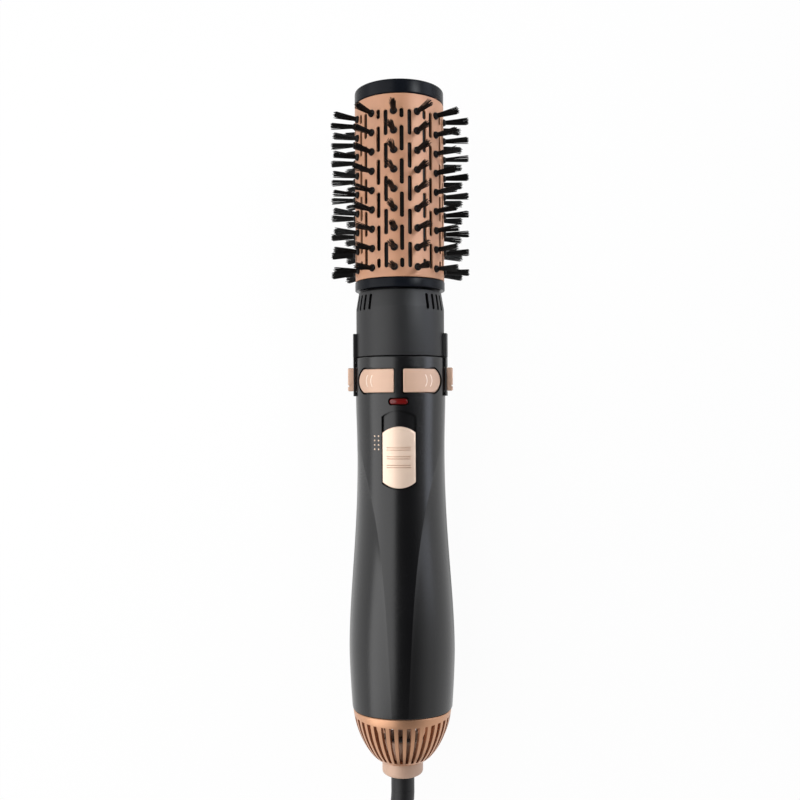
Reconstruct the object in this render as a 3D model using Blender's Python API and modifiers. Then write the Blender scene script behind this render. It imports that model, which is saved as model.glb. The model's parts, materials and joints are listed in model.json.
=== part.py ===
"""Rotating hot air brush, laid on its back with its mains lead put away.

Lengths are metres and +Z is up. The brush is drawn upright, with its axis on Z, its front towards
-Y and the end of its cord collar at height 0. The empty named rest then lays it on the table,
where it stands on its bristles and on the swell of its handle, with its front up.
"""

import math

import bmesh
import bpy
from mathutils import Matrix, Vector

# Fits
FIT = 0.0003  # between pieces that touch
RUN = 0.0003  # between pieces that turn or slide on each other
FACET = 0.0003  # how far the flat facets of a round wall stand in from its circle
STEPS = 36  # facets round the head, the neck and the grille

# Handle
GRILLE_HEIGHT = 0.0297
HANDLE_LENGTH = 0.1588
SEAM_RADIUS = 0.0204
WAIST_RADIUS = 0.0199
BELLY_RADIUS = 0.02405
RIM_RADIUS = 0.0228
WAIST_DROP = 0.0419  # from the seam down
SHOULDER_DROP = 0.0156
BELLY_RISE = 0.02595  # from the rim up
FLARE_LAG = 1.2
RIM_ARCH = 0.0019  # the rim is this much higher at the front and back
SHELL_WALL = 0.002
CREASE_DROP = 0.0406
CREASE_FADE = 0.030
CREASE_SIDE = math.radians(65.0)
CREASE_MIDDLE = math.radians(10.0)
SCOOP_DEPTH = 0.0012
SCOOP_RISE = 0.0072
HANDLE_ROWS = 11

# Removable head
NECK_LENGTH = 0.0293
NECK_RADIUS = 0.0200
NECK_TOP_RADIUS = 0.0187
NECK_TAPER = 0.0077
NECK_ROOF = 0.002
VENT_LENGTH = 0.0071
VENT_WIDTH = 0.0015
VENT_DROP = 0.0017
VENT_ANGLES = (40, 50, 60, 70, 110, 120, 130, 140)  # degrees from the front, on each side
SPIGOT_RADIUS = 0.0148
SPIGOT_WALL = 0.0016
CLIP_THICKNESS = 0.0008
CLIP_DEPTH = 0.0013
SPIGOT_LIP = 0.0008
RAIL_RADIUS = 0.0216
RAIL_WIDTH = 0.0110
NECK_RAIL = 0.0106
RING_GAP = 0.0007
RING_RADIUS = 0.0204
RING_HEIGHT = 0.0040
BARREL_RADIUS = 0.0202
BARREL_WALL = 0.0008
BARREL_LENGTH = 0.0796
CAP_HEIGHT = 0.0056
CAP_EDGE = 0.0008
CAP_SKIRT = 0.0038
SPIDER_THICKNESS = 0.0025
SPOKE_WIDTH = 0.0022
SPINDLE_RADIUS = 0.0020
HUB_WALL = 0.0016
DOG_SIDE = 0.0040
DOG_LENGTH = 0.0070
SOCKET_WALL = 0.0014

# Bristles and barrel slots
COLUMNS = 12
COLUMN_TURN = math.radians(-4.5)
TUFTS = 9
TUFT_PITCH = 0.00846
LOW_TUFT = 0.0043  # above the barrel's lower end
TUFT_TIP_RADIUS = 0.03185
TUFT_HOLE = 0.0025
STRANDS = 3
STRAND_RADIUS = 0.00045
ROOT_SPREAD = 0.0005
TIP_SPREAD = 0.00085
STRIP_WIDTH = 0.0030
STRIP_THICKNESS = 0.0010
SLOT_START = 0.0039
SLOT_LENGTH = 0.0112
SLOT_BRIDGE = 0.0032
SHORT_SLOT = 0.0042
SLOT_WIDTH = 0.00145

# Controls, with heights measured down from the seam
BUTTON_DROP = 0.01065
BUTTON_HEIGHT = 0.0103
BUTTON_GAP = 0.0041
BUTTON_REACH = 0.0180
BUTTON_END_RADIUS = 0.0066
BUTTON_PROUD = 0.0005
BUTTON_DEPTH = 0.0033
BUTTON_TRAVEL = 0.0010
LENS_DROP = 0.01975
LENS_WIDTH = 0.0082
LENS_HEIGHT = 0.0026
LENS_SUNK = 0.0003
LENS_DEPTH = 0.0018
POCKET_DROP = 0.0236
POCKET_LENGTH = 0.0346
POCKET_WIDTH = 0.0153
POCKET_DEPTH = 0.0012
END_RISE = 0.0027
SLIDER_LENGTH = 0.0269
SLIDER_WIDTH = 0.0144
SLIDER_PROUD = 0.0013
SLIDER_MARGIN = 0.0007
SLIDER_TRAVEL = 0.0060
POST_WIDTH = 0.0030
POST_LENGTH = 0.0060
GRIP_PITCH = 0.0038
GRIP_WIDTH = 0.0009
GRIP_DEPTH = 0.0004
GRIP_LENGTH = 0.0105
PAD_DROP = 0.00975
PAD_HEIGHT = 0.0105
PAD_WIDTH = 0.0068
PAD_RADIUS = 0.0238
PAD_FLANGE = 0.0010
PAD_FLANGE_THICKNESS = 0.0013
PAD_TRAVEL = 0.0012
BEZEL_LENGTH = 0.0170

# Inlet grille and cord collar
BOWL_WALL = 0.0016
BOWL_INSET = 0.0005  # the bowl stands in from the shell's rim by this much
BOWL_FLOOR = 0.0066
BOWL_FLOOR_RADIUS = 0.0108
BOWL_CURVE = 1.6
BOWL_SWELL = 0.71
COLLAR_RADIUS = 0.0093
COLLAR_EDGE = 0.0010
COLLAR_LIP = 0.0020
GUIDE_HEIGHT = 0.0160
GUIDE_WALL = 0.0015
RIM_LIP = 0.0040
GRILLE_SLOTS = 36
GRILLE_LOW = 0.0086
GRILLE_HIGH = 0.0272
GRILLE_SLOT_WIDTH = 0.0018
SLEEVE_RADIUS = 0.0053
SLEEVE_OUT = 0.0075
SLEEVE_FLANGE = 0.0012
SLEEVE_TOP = 0.0130

# Inside the handle
NOZZLE_RADIUS = 0.0164
NOZZLE_WALL = 0.0014
NOZZLE_REACH = 0.0224  # above the seam
NOZZLE_FLANGE = 0.0025
HEATER_RADIUS = 0.0114
HEATER_WALL = 0.0006
HEATER_OUT = 0.0040  # the heater sleeve ends this much above the seam
WIRE_RADIUS = 0.0004
WIRE_TURNS = 4
FRAME_THICKNESS = 0.0009
FRAME_TUBE = 0.0032
SHAFT_RADIUS = 0.0015
DOG_RISE = 0.0045  # the driving dog starts this much above the seam
GEARBOX_RADIUS = 0.0108
GEARBOX_LENGTH = 0.0155
BRUSH_MOTOR_RADIUS = 0.0088
BRUSH_MOTOR_LENGTH = 0.0180
MOTOR_GAP = 0.0045
GEAR_MOUNT_THICKNESS = 0.0020
GEAR_MOUNT_ARM = 0.0050
FAN_RISE = 0.0121  # the impeller's lower face above the rim
FAN_HEIGHT = 0.0090
FAN_RADIUS = 0.0175
FAN_HUB = 0.0060
FAN_BLADES = 5
BLADE_CHORD = 0.0088
BLADE_THICKNESS = 0.0011
FAN_MOTOR_RADIUS = 0.0120
FAN_MOTOR_LENGTH = 0.0330
FAN_SHAFT = 0.0012
MOUNT_HEIGHT = 0.0070
MOUNT_WALL = 0.0014
MOUNT_ARM = 0.0050
BOARD_DEPTH = 0.0132  # from the axis to the board's front face
BOARD_THICKNESS = 0.0012
BOARD_WIDTH = 0.0170
BOARD_LENGTH = 0.0520
BOARD_DROP = 0.0036
SWITCH_WIDTH = 0.0080
SWITCH_LENGTH = 0.0160
PUSH_SIZE = 0.0045
PUSH_PLACE = 0.0056
LAMP_RADIUS = 0.0012
THERMOSTAT_WIDTH = 0.0050
THERMOSTAT_THICKNESS = 0.0018
THERMOSTAT_HEIGHT = 0.0070

# Mains lead, with places on the table in world coordinates
CORD_DIAMETER = 0.0064
BOOT_END_RADIUS = 0.0040
BOOT_STRAIGHT = 0.0015
BOOT_ROUTE = ((-0.0048, -0.1812, 0.0196), (-0.0108, -0.1988, 0.0172))
LEAD_ROUTE = (
    (-0.0192, -0.2228, 0.0122),
    (-0.0262, -0.2478, 0.0072),
    (-0.0302, -0.2728, 0.0050),
)
COIL_CENTRE = (0.0098, -0.3008)
COIL_INNER = 0.0273
COIL_STEP = 0.0071
COIL_LAYERS = 4
LAYER_TURNS = 1.875
LOOP_POINTS = 16
TIE_THICKNESS = 0.0010
TIE_WIDTH = 0.0100
TIE_FLOOR = 0.0002
TIE_GAP = 0.0004
PLUG_END = (0.0380, -0.2361, 0.0082)
PLUG_LENGTH = 0.0300
PLUG_WIDTH = 0.0260
PLUG_HEIGHT = 0.0156
PLUG_NOSE = 0.0110
PIN_RADIUS = 0.0024
PIN_LENGTH = 0.0190
PIN_SPACING = 0.0190

# Heights that follow along the axis
RIM_Z = GRILLE_HEIGHT
SEAM_Z = RIM_Z + HANDLE_LENGTH
WAIST_Z = SEAM_Z - WAIST_DROP
SHOULDER_Z = SEAM_Z - SHOULDER_DROP
BELLY_Z = RIM_Z + BELLY_RISE
CREASE_Z = SEAM_Z - CREASE_DROP
SCOOP_Z = RIM_Z + SCOOP_RISE
NECK_Z = SEAM_Z + FIT
NECK_TOP_Z = NECK_Z + NECK_LENGTH
RING_Z = NECK_TOP_Z + RING_GAP
RING_TOP_Z = RING_Z + RING_HEIGHT
BARREL_Z = RING_TOP_Z + FIT
BARREL_TOP_Z = BARREL_Z + BARREL_LENGTH
CAP_Z = BARREL_TOP_Z + FIT
TIP_Z = CAP_Z + CAP_HEIGHT
CLIP_Z = RING_TOP_Z + RUN
SPIGOT_Z = CLIP_Z + CLIP_THICKNESS + FIT + SPIGOT_LIP
SPIDER_Z = SPIGOT_Z + 4 * RUN
DOG_Z = SEAM_Z + DOG_RISE
LOW_TUFT_Z = BARREL_Z + LOW_TUFT
FAN_Z = RIM_Z + FAN_RISE
FAN_MOTOR_Z = FAN_Z + FAN_HEIGHT + FIT
FAN_MOTOR_TOP_Z = FAN_MOTOR_Z + FAN_MOTOR_LENGTH
BRUSH_MOTOR_Z = FAN_MOTOR_TOP_Z + MOTOR_GAP
GEARBOX_Z = BRUSH_MOTOR_Z + BRUSH_MOTOR_LENGTH + FIT
GEAR_MOUNT_Z = GEARBOX_Z + GEARBOX_LENGTH + FIT
HEATER_Z = GEAR_MOUNT_Z + GEAR_MOUNT_THICKNESS + FIT
HEATER_TOP_Z = SEAM_Z + HEATER_OUT
FLANGE_Z = SEAM_Z - FIT - NOZZLE_FLANGE
BARREL_BORE = BARREL_RADIUS - BARREL_WALL
STRIP_TOP = BARREL_BORE * math.cos(math.pi / STEPS) - FIT
STRIP_FLOOR = STRIP_TOP - STRIP_THICKNESS
SOCKET_RADIUS = DOG_SIDE / 2 * math.sqrt(2) + RUN + SOCKET_WALL
RAIL_HALF = math.asin(RAIL_WIDTH / 2 / RAIL_RADIUS)
COLLAR_BORE = SLEEVE_RADIUS + RUN
GUIDE_BORE = COLLAR_RADIUS - GUIDE_WALL
COIL_OUTER = COIL_INNER + COIL_STEP * LAYER_TURNS
COIL_FLOOR = TIE_FLOOR + TIE_THICKNESS + TIE_GAP

# Colour, roughness and metallic value of each finish
FINISHES = {
    "gold": ((0.60, 0.33, 0.18), 0.30, 0.85),
    "black": ((0.020, 0.020, 0.022), 0.38, 0.0),
    "gloss": ((0.015, 0.015, 0.018), 0.22, 0.0),
    "bristle": ((0.018, 0.017, 0.017), 0.55, 0.0),
    "lens": ((0.16, 0.010, 0.008), 0.18, 0.0),
    "steel": ((0.55, 0.55, 0.56), 0.30, 1.0),
    "mica": ((0.55, 0.46, 0.33), 0.60, 0.0),
    "board": ((0.03, 0.14, 0.06), 0.50, 0.0),
    "rubber": ((0.016, 0.016, 0.017), 0.60, 0.0),
    "white": ((0.70, 0.70, 0.68), 0.50, 0.0),
}


def smooth(t):
    """Ease from 0 to 1 with level ends."""
    t = min(max(t, 0.0), 1.0)
    return t * t * (3.0 - 2.0 * t)


def handle_radius(z):
    """Radius of the handle's round sections: collar, waist, swell and rim."""
    if z >= WAIST_Z:
        rise = smooth((z - WAIST_Z) / (SHOULDER_Z - WAIST_Z))
        return WAIST_RADIUS + (SEAM_RADIUS - WAIST_RADIUS) * rise
    if z >= BELLY_Z:
        fall = (WAIST_Z - z) / (WAIST_Z - BELLY_Z)
        return WAIST_RADIUS + (BELLY_RADIUS - WAIST_RADIUS) * smooth(fall**FLARE_LAG)
    fall = (BELLY_Z - z) / (BELLY_Z - RIM_Z)
    return BELLY_RADIUS - (BELLY_RADIUS - RIM_RADIUS) * fall**1.5


def crease_angle(z):
    """Angle from the front at which the raised front spine ends."""
    fade = math.exp(min(z - CREASE_Z, 0.0) / CREASE_FADE)
    return CREASE_MIDDLE + (CREASE_SIDE - CREASE_MIDDLE) * fade


def skin_radius(angle, z):
    """Radius of the handle: round, less the hollow on each side of the front spine."""
    crease = crease_angle(z)
    across = (abs(angle) - crease) / (math.pi / 2 - crease)
    along = (z - SCOOP_Z) / (CREASE_Z - SCOOP_Z)
    if not (0.0 < across < 1.0 and 0.0 < along < 1.0):
        return handle_radius(z)
    return handle_radius(z) - SCOOP_DEPTH * math.sin(math.pi * along) * 4 * across * (1 - across)


def rim_edge(angle):
    """Height of the edge where the shells meet the grille."""
    return RIM_Z + RIM_ARCH * math.cos(angle) ** 2


def lying():
    """Tilt and lift that put the lowest tuft row and the handle's swell on the table."""
    heights = [RIM_Z + (WAIST_Z - RIM_Z) * i / 200 for i in range(201)]
    low, high = 0.0, 0.3
    for _ in range(50):
        tilt = (low + high) / 2
        belly = max(handle_radius(z) * math.cos(tilt) - z * math.sin(tilt) for z in heights)
        tufts = TUFT_TIP_RADIUS * math.cos(tilt) - LOW_TUFT_Z * math.sin(tilt)
        if tufts > belly:
            low = tilt
        else:
            high = tilt
    return tilt, belly


def polar(radius, angle):
    """A point at an angle from the front, positive towards +X."""
    return Vector((radius * math.sin(angle), -radius * math.cos(angle)))


def arc(cx, cy, radius, start, end, count):
    """Points of an arc, angles in degrees."""
    turns = [math.radians(start + (end - start) * i / count) for i in range(count + 1)]
    return [(cx + radius * math.cos(t), cy + radius * math.sin(t)) for t in turns]


def rectangle(x0, x1, y0, y1, radius=0.0, count=2):
    """A rectangle, with round corners if a radius is given."""
    if radius <= 0.0:
        return [(x0, y0), (x1, y0), (x1, y1), (x0, y1)]
    return (
        arc(x1 - radius, y0 + radius, radius, -90, 0, count)
        + arc(x1 - radius, y1 - radius, radius, 0, 90, count)
        + arc(x0 + radius, y1 - radius, radius, 90, 180, count)
        + arc(x0 + radius, y0 + radius, radius, 180, 270, count)
    )


def arched(half, low, high, rise, count=4):
    """A panel with straight sides and shallow arches at its two ends."""
    radius = (half * half + rise * rise) / (2 * rise)
    spread = math.degrees(math.asin(half / radius))
    return arc(0, high - radius, radius, 90 - spread, 90 + spread, count) + arc(
        0, low + radius, radius, 270 - spread, 270 + spread, count
    )


def sector(inner, outer, half, middle, count=4):
    """Outline of a slice of a ring, seen along the axis."""
    turns = [middle - half + 2 * half * i / count for i in range(count + 1)]
    return [polar(outer, t) for t in turns] + [polar(inner, t) for t in reversed(turns)]


def new_collection(name):
    """A collection in the scene."""
    made = bpy.data.collections.new(name)
    bpy.context.scene.collection.children.link(made)
    return made


def paint(obj, finish):
    """Give an object its own Principled material."""
    colour, roughness, metallic = FINISHES[finish]
    material = bpy.data.materials.new(obj.name + "_finish")
    material.use_nodes = True
    shader = material.node_tree.nodes["Principled BSDF"]
    shader.inputs["Base Color"].default_value = (*colour, 1.0)
    shader.inputs["Roughness"].default_value = roughness
    shader.inputs["Metallic"].default_value = metallic
    obj.data.materials.clear()
    obj.data.materials.append(material)


def add(name, data, finish, parent):
    """A named part of the brush."""
    obj = bpy.data.objects.new(name, data)
    parts.objects.link(obj)
    obj.parent = parent
    paint(obj, finish)
    return obj


def cutter(name, mesh):
    """A tool shape that isn't part of the brush."""
    obj = bpy.data.objects.new(name, mesh)
    cutters.objects.link(obj)
    obj.parent = rest
    obj.hide_render = True
    obj.display_type = "WIRE"
    return obj


def combine(obj, tool, operation):
    """Boolean between a part and a tool shape."""
    modifier = obj.modifiers.new(operation.title(), "BOOLEAN")
    modifier.operation = operation
    modifier.solver = "EXACT"
    modifier.object = tool


def evaluated(obj):
    """The finished mesh of an object, with the ends of a curve welded."""
    bpy.context.view_layer.update()
    graph = bpy.context.evaluated_depsgraph_get()
    mesh = bpy.data.meshes.new_from_object(obj.evaluated_get(graph))
    work = bmesh.new()
    work.from_mesh(mesh)
    bmesh.ops.remove_doubles(work, verts=work.verts, dist=1e-6)
    bmesh.ops.recalc_face_normals(work, faces=work.faces)
    work.to_mesh(mesh)
    work.free()
    return mesh


def prism(name, loops, low, high, axis="Z"):
    """Mesh of flat outlines drawn out from low to high along Z, along X, or towards the front."""
    curve = bpy.data.curves.new(name, "CURVE")
    curve.dimensions = "2D"
    curve.fill_mode = "BOTH"
    curve.extrude = (high - low) / 2
    for loop in loops:
        spline = curve.splines.new("POLY")
        spline.points.add(len(loop) - 1)
        spline.use_cyclic_u = True
        for point, place in zip(spline.points, loop):
            point.co = (place[0], place[1], 0.0, 1.0)
    draft = bpy.data.objects.new(name + "_outline", curve)
    bpy.context.scene.collection.objects.link(draft)
    mesh = evaluated(draft)
    bpy.data.objects.remove(draft)
    turn = {
        "Z": Matrix.Identity(4),
        "X": Matrix(((0, 0, 1, 0), (1, 0, 0, 0), (0, 1, 0, 0), (0, 0, 0, 1))),
        "FRONT": Matrix.Rotation(math.pi / 2, 4, "X"),
    }[axis]
    mesh.transform(turn @ Matrix.Translation((0, 0, (low + high) / 2)))
    return mesh


def block(name, low, high):
    """Mesh of a box between two corners."""
    work = bmesh.new()
    middle = (Vector(low) + Vector(high)) / 2
    size = Vector(high) - Vector(low)
    bmesh.ops.create_cube(work, matrix=Matrix.Translation(middle) @ Matrix.Diagonal((*size, 1)))
    mesh = bpy.data.meshes.new(name)
    work.to_mesh(mesh)
    work.free()
    return mesh


def joined(name, meshes):
    """One mesh of several separate shapes."""
    work = bmesh.new()
    for mesh in meshes:
        work.from_mesh(mesh)
    whole = bpy.data.meshes.new(name)
    work.to_mesh(whole)
    work.free()
    return whole


def profile_mesh(name, profile, steps, closed):
    """The edges of a turned profile, half a facet off +X so that the facets face the axes."""
    turn = math.pi / steps
    mesh = bpy.data.meshes.new(name)
    verts = [(r * math.cos(turn), r * math.sin(turn), z) for r, z in profile]
    edges = [(i, i + 1) for i in range(len(profile) - 1)]
    if closed:
        edges.append((len(profile) - 1, 0))
    mesh.from_pydata(verts, edges, [])
    return mesh


def spin(obj, steps):
    """Turn an object's profile about the axis."""
    screw = obj.modifiers.new("Turn", "SCREW")
    screw.axis = "Z"
    screw.angle = 2 * math.pi
    screw.steps = steps
    screw.render_steps = steps
    screw.use_merge_vertices = True
    screw.merge_threshold = 0.00001
    screw.use_smooth_shade = True


def turned(name, profile, finish, steps=STEPS, closed=True):
    """A turned part. The profile runs down its outer side and back up its inner side."""
    obj = add(name, profile_mesh(name, profile, steps, closed), finish, rest)
    spin(obj, steps)
    return obj


def turned_tool(name, profile, steps=STEPS, closed=True):
    """A turned tool shape."""
    obj = cutter(name, profile_mesh(name, profile, steps, closed))
    spin(obj, steps)
    return obj


def ring(inner, outer, low, high):
    """Profile of a plain tube."""
    return [(inner, high), (outer, high), (outer, low), (inner, low)]


def rod(radius, low, high):
    """Profile of a plain rod, from the axis to the axis."""
    return [(0.0, high), (radius, high), (radius, low), (0.0, low)]


def around(mesh, angle):
    """A copy of a mesh turned about the axis."""
    copy = mesh.copy()
    copy.transform(Matrix.Rotation(angle, 4, "Z"))
    return copy


def slot_outline(middle, length):
    """Outline of an air slot, across X and along Z."""
    half = SLOT_WIDTH / 2
    return rectangle(-half, half, middle - length / 2, middle + length / 2)


def barrel():
    """Slotted tube with a hole for each tuft."""
    tube = turned("brush_barrel", ring(BARREL_BORE, BARREL_RADIUS, BARREL_Z, BARREL_TOP_Z), "gold")
    depth = (STRIP_FLOOR, TUFT_TIP_RADIUS)
    start = BARREL_Z + SLOT_START
    pitch = SLOT_LENGTH + SLOT_BRIDGE
    long_column = [(start + SLOT_LENGTH / 2 + i * pitch, SLOT_LENGTH) for i in range(5)]
    first = start + SHORT_SLOT + SLOT_BRIDGE + SLOT_LENGTH / 2
    mixed_column = [(first + i * pitch, SLOT_LENGTH) for i in range(4)]
    mixed_column.insert(0, (start + SHORT_SLOT / 2, SHORT_SLOT))
    mixed_column.append((first + 3.5 * pitch + (SLOT_BRIDGE + SHORT_SLOT) / 2, SHORT_SLOT))
    tufts = [LOW_TUFT_Z + i * TUFT_PITCH for i in range(TUFTS)]
    half = TUFT_HOLE / 2
    columns = (
        [rectangle(-half, half, z - half, z + half) for z in tufts],
        [slot_outline(z, length) for z, length in mixed_column],
        [slot_outline(z, length) for z, length in long_column],
    )
    step = 2 * math.pi / COLUMNS / len(columns)
    holes = []
    for number, loops in enumerate(columns):
        column = joined("column", [prism("hole", [loop], *depth, "FRONT") for loop in loops])
        holes += [around(column, number * step + i * 3 * step) for i in range(COLUMNS)]
    combine(tube, cutter("barrel_holes", joined("barrel_holes", holes)), "DIFFERENCE")
    tube.rotation_euler.z = COLUMN_TURN
    bpy.data.objects["barrel_holes"].rotation_euler.z = COLUMN_TURN


def strand(work, z, turn):
    """One bristle, three-sided with a chisel tip, from inside its strip to the tip circle."""
    aside = Vector((math.cos(turn), 0.0, math.sin(turn)))
    across = Vector((-math.sin(turn), 0.0, math.cos(turn))) * STRAND_RADIUS
    root = Vector((0.0, -(STRIP_FLOOR + STRIP_THICKNESS / 2), z)) + aside * ROOT_SPREAD
    tip = Vector((0.0, -TUFT_TIP_RADIUS, z)) + aside * TIP_SPREAD
    out = aside * STRAND_RADIUS
    corners = [root + out, root - out / 2 - across, root - out / 2 + across, tip - across, tip + across]
    o, a, b, c, d = [work.verts.new(corner) for corner in corners]
    for loop in ((o, b, a), (a, b, d, c), (b, o, d), (o, c, d), (o, a, c)):
        work.faces.new(loop)


def bristles():
    """Twelve strips inside the barrel, each with its tufts fused to it."""
    low = (-STRIP_WIDTH / 2, -STRIP_TOP, RING_TOP_Z + FIT)
    high = (STRIP_WIDTH / 2, -STRIP_FLOOR, CAP_Z - CAP_SKIRT - FIT)
    work = bmesh.new()
    for row in range(TUFTS):
        for number in range(STRANDS):
            strand(work, LOW_TUFT_Z + row * TUFT_PITCH, math.tau * (number + 0.25) / STRANDS)
    mesh = bpy.data.meshes.new("strands")
    work.to_mesh(mesh)
    work.free()
    strands = cutter("strands", mesh)
    draft = cutter("strip", block("strip", low, high))
    combine(draft, strands, "UNION")
    strip = evaluated(draft)
    for number in range(COLUMNS):
        obj = add(f"bristle_strip_{number + 1:02d}", strip.copy(), "bristle", rest)
        obj.rotation_euler.z = COLUMN_TURN + number * math.tau / COLUMNS


def head_ends():
    """Tip cap, base ring with its spider, and the spindle between them."""
    bore = SPINDLE_RADIUS + FIT
    boss = bore + HUB_WALL
    skirt = STRIP_TOP
    skirt_z = CAP_Z - CAP_SKIRT
    spindle_top = CAP_Z + CAP_HEIGHT / 3
    turned(
        "tip_cap",
        [
            (0.0, TIP_Z),
            (BARREL_RADIUS - CAP_EDGE, TIP_Z),
            (BARREL_RADIUS, TIP_Z - CAP_EDGE),
            (BARREL_RADIUS, CAP_Z),
            (skirt, CAP_Z),
            (skirt, skirt_z),
            (bore, skirt_z),
            (bore, spindle_top + FIT),
            (0.0, spindle_top + FIT),
        ],
        "gloss",
        steps=24,
        closed=False,
    )
    clip_outer = SPIGOT_RADIUS + FIT + CLIP_DEPTH
    collar_outer = STRIP_FLOOR - FIT
    spider_top = SPIDER_Z + SPIDER_THICKNESS
    base = turned(
        "barrel_base",
        [
            (clip_outer + RUN, spider_top),
            (collar_outer, spider_top),
            (collar_outer, RING_TOP_Z),
            (RING_RADIUS, RING_TOP_Z),
            (RING_RADIUS, RING_Z),
            (SPIGOT_RADIUS + RUN, RING_Z),
            (SPIGOT_RADIUS + RUN, RING_TOP_Z),
            (clip_outer + RUN, RING_TOP_Z),
        ],
        "gloss",
        steps=24,
    )
    wide = math.asin(SPOKE_WIDTH / 2 / boss)
    star = []
    for spoke in range(3):
        middle = spoke * math.tau / 3
        end = collar_outer - FIT
        tip = math.asin(SPOKE_WIDTH / 2 / end)
        star += [polar(boss, middle - wide), polar(end, middle - tip)]
        star += [polar(end, middle + tip), polar(boss, middle + wide)]
        star.append(polar(boss, middle + math.tau / 6))
    hole = arc(0, 0, bore / math.cos(math.pi / 8), 0, 315, 7)
    spider = prism("spider", [star, hole], SPIDER_Z, spider_top)
    combine(base, cutter("spider", spider), "UNION")
    socket_z = DOG_Z + DOG_LENGTH + 2 * RUN
    spindle = turned(
        "brush_spindle",
        [
            (0.0, spindle_top),
            (SPINDLE_RADIUS, spindle_top),
            (SPINDLE_RADIUS, socket_z + 2 * SOCKET_WALL),
            (SOCKET_RADIUS, socket_z + SOCKET_WALL),
            (SOCKET_RADIUS, DOG_Z),
            (0.0, DOG_Z),
        ],
        "steel",
        steps=12,
        closed=False,
    )
    side = DOG_SIDE / 2 + RUN
    key = block("socket", (-side, -side, DOG_Z - RUN), (side, side, socket_z))
    combine(spindle, cutter("socket", key), "DIFFERENCE")


def neck():
    """Vented base of the removable head, with the spigot that the barrel turns on."""
    bore = NOZZLE_RADIUS + RUN + FACET
    roof = NECK_TOP_Z - NECK_ROOF
    spigot_bore = SPIGOT_RADIUS - SPIGOT_WALL
    body = turned(
        "head_neck",
        [
            (spigot_bore, SPIGOT_Z),
            (SPIGOT_RADIUS, SPIGOT_Z),
            (SPIGOT_RADIUS, NECK_TOP_Z),
            (NECK_TOP_RADIUS, NECK_TOP_Z),
            (NECK_RADIUS, NECK_TOP_Z - NECK_TAPER),
            (NECK_RADIUS, NECK_Z),
            (bore, NECK_Z),
            (bore, roof),
            (spigot_bore, roof),
        ],
        "black",
    )
    rail = [
        prism(
            "rail",
            [sector((bore + NECK_RADIUS) / 2, RAIL_RADIUS, RAIL_HALF, side * math.pi / 2)],
            NECK_Z,
            NECK_Z + NECK_RAIL,
        )
        for side in (-1, 1)
    ]
    combine(body, cutter("neck_rails", joined("neck_rails", rail)), "UNION")
    half = VENT_WIDTH / 2
    high = NECK_TOP_Z - VENT_DROP
    outline = rectangle(-half, half, high - VENT_LENGTH, high)
    vent = prism("vent", [outline], (bore + SPIGOT_RADIUS) / 2, 2 * NECK_RADIUS, "FRONT")
    vents = [around(vent, math.radians(side * a)) for side in (-1, 1) for a in VENT_ANGLES]
    combine(body, cutter("neck_vents", joined("neck_vents", vents)), "DIFFERENCE")
    clip = [polar(SPIGOT_RADIUS + FIT, math.radians(a)) for a in range(20, 341, 20)]
    clip += [polar(SPIGOT_RADIUS + FIT + CLIP_DEPTH, math.radians(a)) for a in range(340, 19, -20)]
    mesh = prism("retaining_ring", [clip], CLIP_Z, CLIP_Z + CLIP_THICKNESS)
    add("retaining_ring", mesh, "steel", rest)


def column_angles(z):
    """Angles of the handle's mesh columns at a height: the spine, its hollows, and the back."""
    crease = crease_angle(z)
    side = math.radians(84.0)
    spine = [crease * i / 4 for i in range(5)]
    hollow = [crease + (side - crease) * i / 4 for i in range(1, 5)]
    back = [math.pi - side + side * i / 5 for i in range(6)]
    right = spine + hollow + back
    return [-a for a in reversed(right[1:])] + right


def handle_skin():
    """Outer surface of the whole handle, open at the seam and at the rim."""
    columns = len(column_angles(SEAM_Z)) - 1
    work = bmesh.new()
    bmesh.ops.create_grid(work, x_segments=columns, y_segments=HANDLE_ROWS, size=0.5)
    for vert in work.verts:
        column, v = round((vert.co.x + 0.5) * columns), vert.co.y + 0.5
        angle = column_angles(RIM_Z + HANDLE_LENGTH * v)[column]
        z = rim_edge(angle) + (SEAM_Z - rim_edge(angle)) * v
        vert.co = (*polar(skin_radius(angle, z), angle), z)
    bmesh.ops.remove_doubles(work, verts=work.verts, dist=1e-6)
    mesh = bpy.data.meshes.new("handle_skin")
    work.to_mesh(mesh)
    work.free()
    mesh.shade_smooth()
    return mesh


def shell(name, surface, low, high):
    """One half of the handle: the skin given its wall and cut off at the parting plane."""
    obj = add(name, surface.copy(), "black", rest)
    wall = obj.modifiers.new("Wall", "SOLIDIFY")
    wall.thickness = SHELL_WALL
    wall.offset = -1.0
    wall.use_even_offset = True
    obj.modifiers.new("Flat faces", "TRIANGULATE")
    wide = 2 * BELLY_RADIUS
    half = block(name + "_half", (-wide, low, 0.0), (wide, high, SEAM_Z + wide))
    combine(obj, cutter(name + "_half", half), "INTERSECT")
    return obj


def shells():
    """Front and rear halves of the handle, parted along the sides."""
    surface = handle_skin()
    front = shell("front_shell", surface, -2 * BELLY_RADIUS, -FIT / 2)
    rear = shell("rear_shell", surface, FIT / 2, 2 * BELLY_RADIUS)
    windows = cutter("windows", joined("windows", front_windows()))
    pads = cutter("pad_windows", joined("pad_windows", [pad_prism(s, RUN) for s in (-1, 1)]))
    combine(front, windows, "DIFFERENCE")
    combine(front, pocket_tool(), "DIFFERENCE")
    combine(front, cutter("post_slot", post_slot()), "DIFFERENCE")
    combine(front, pads, "DIFFERENCE")
    combine(rear, pads, "DIFFERENCE")


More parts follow.
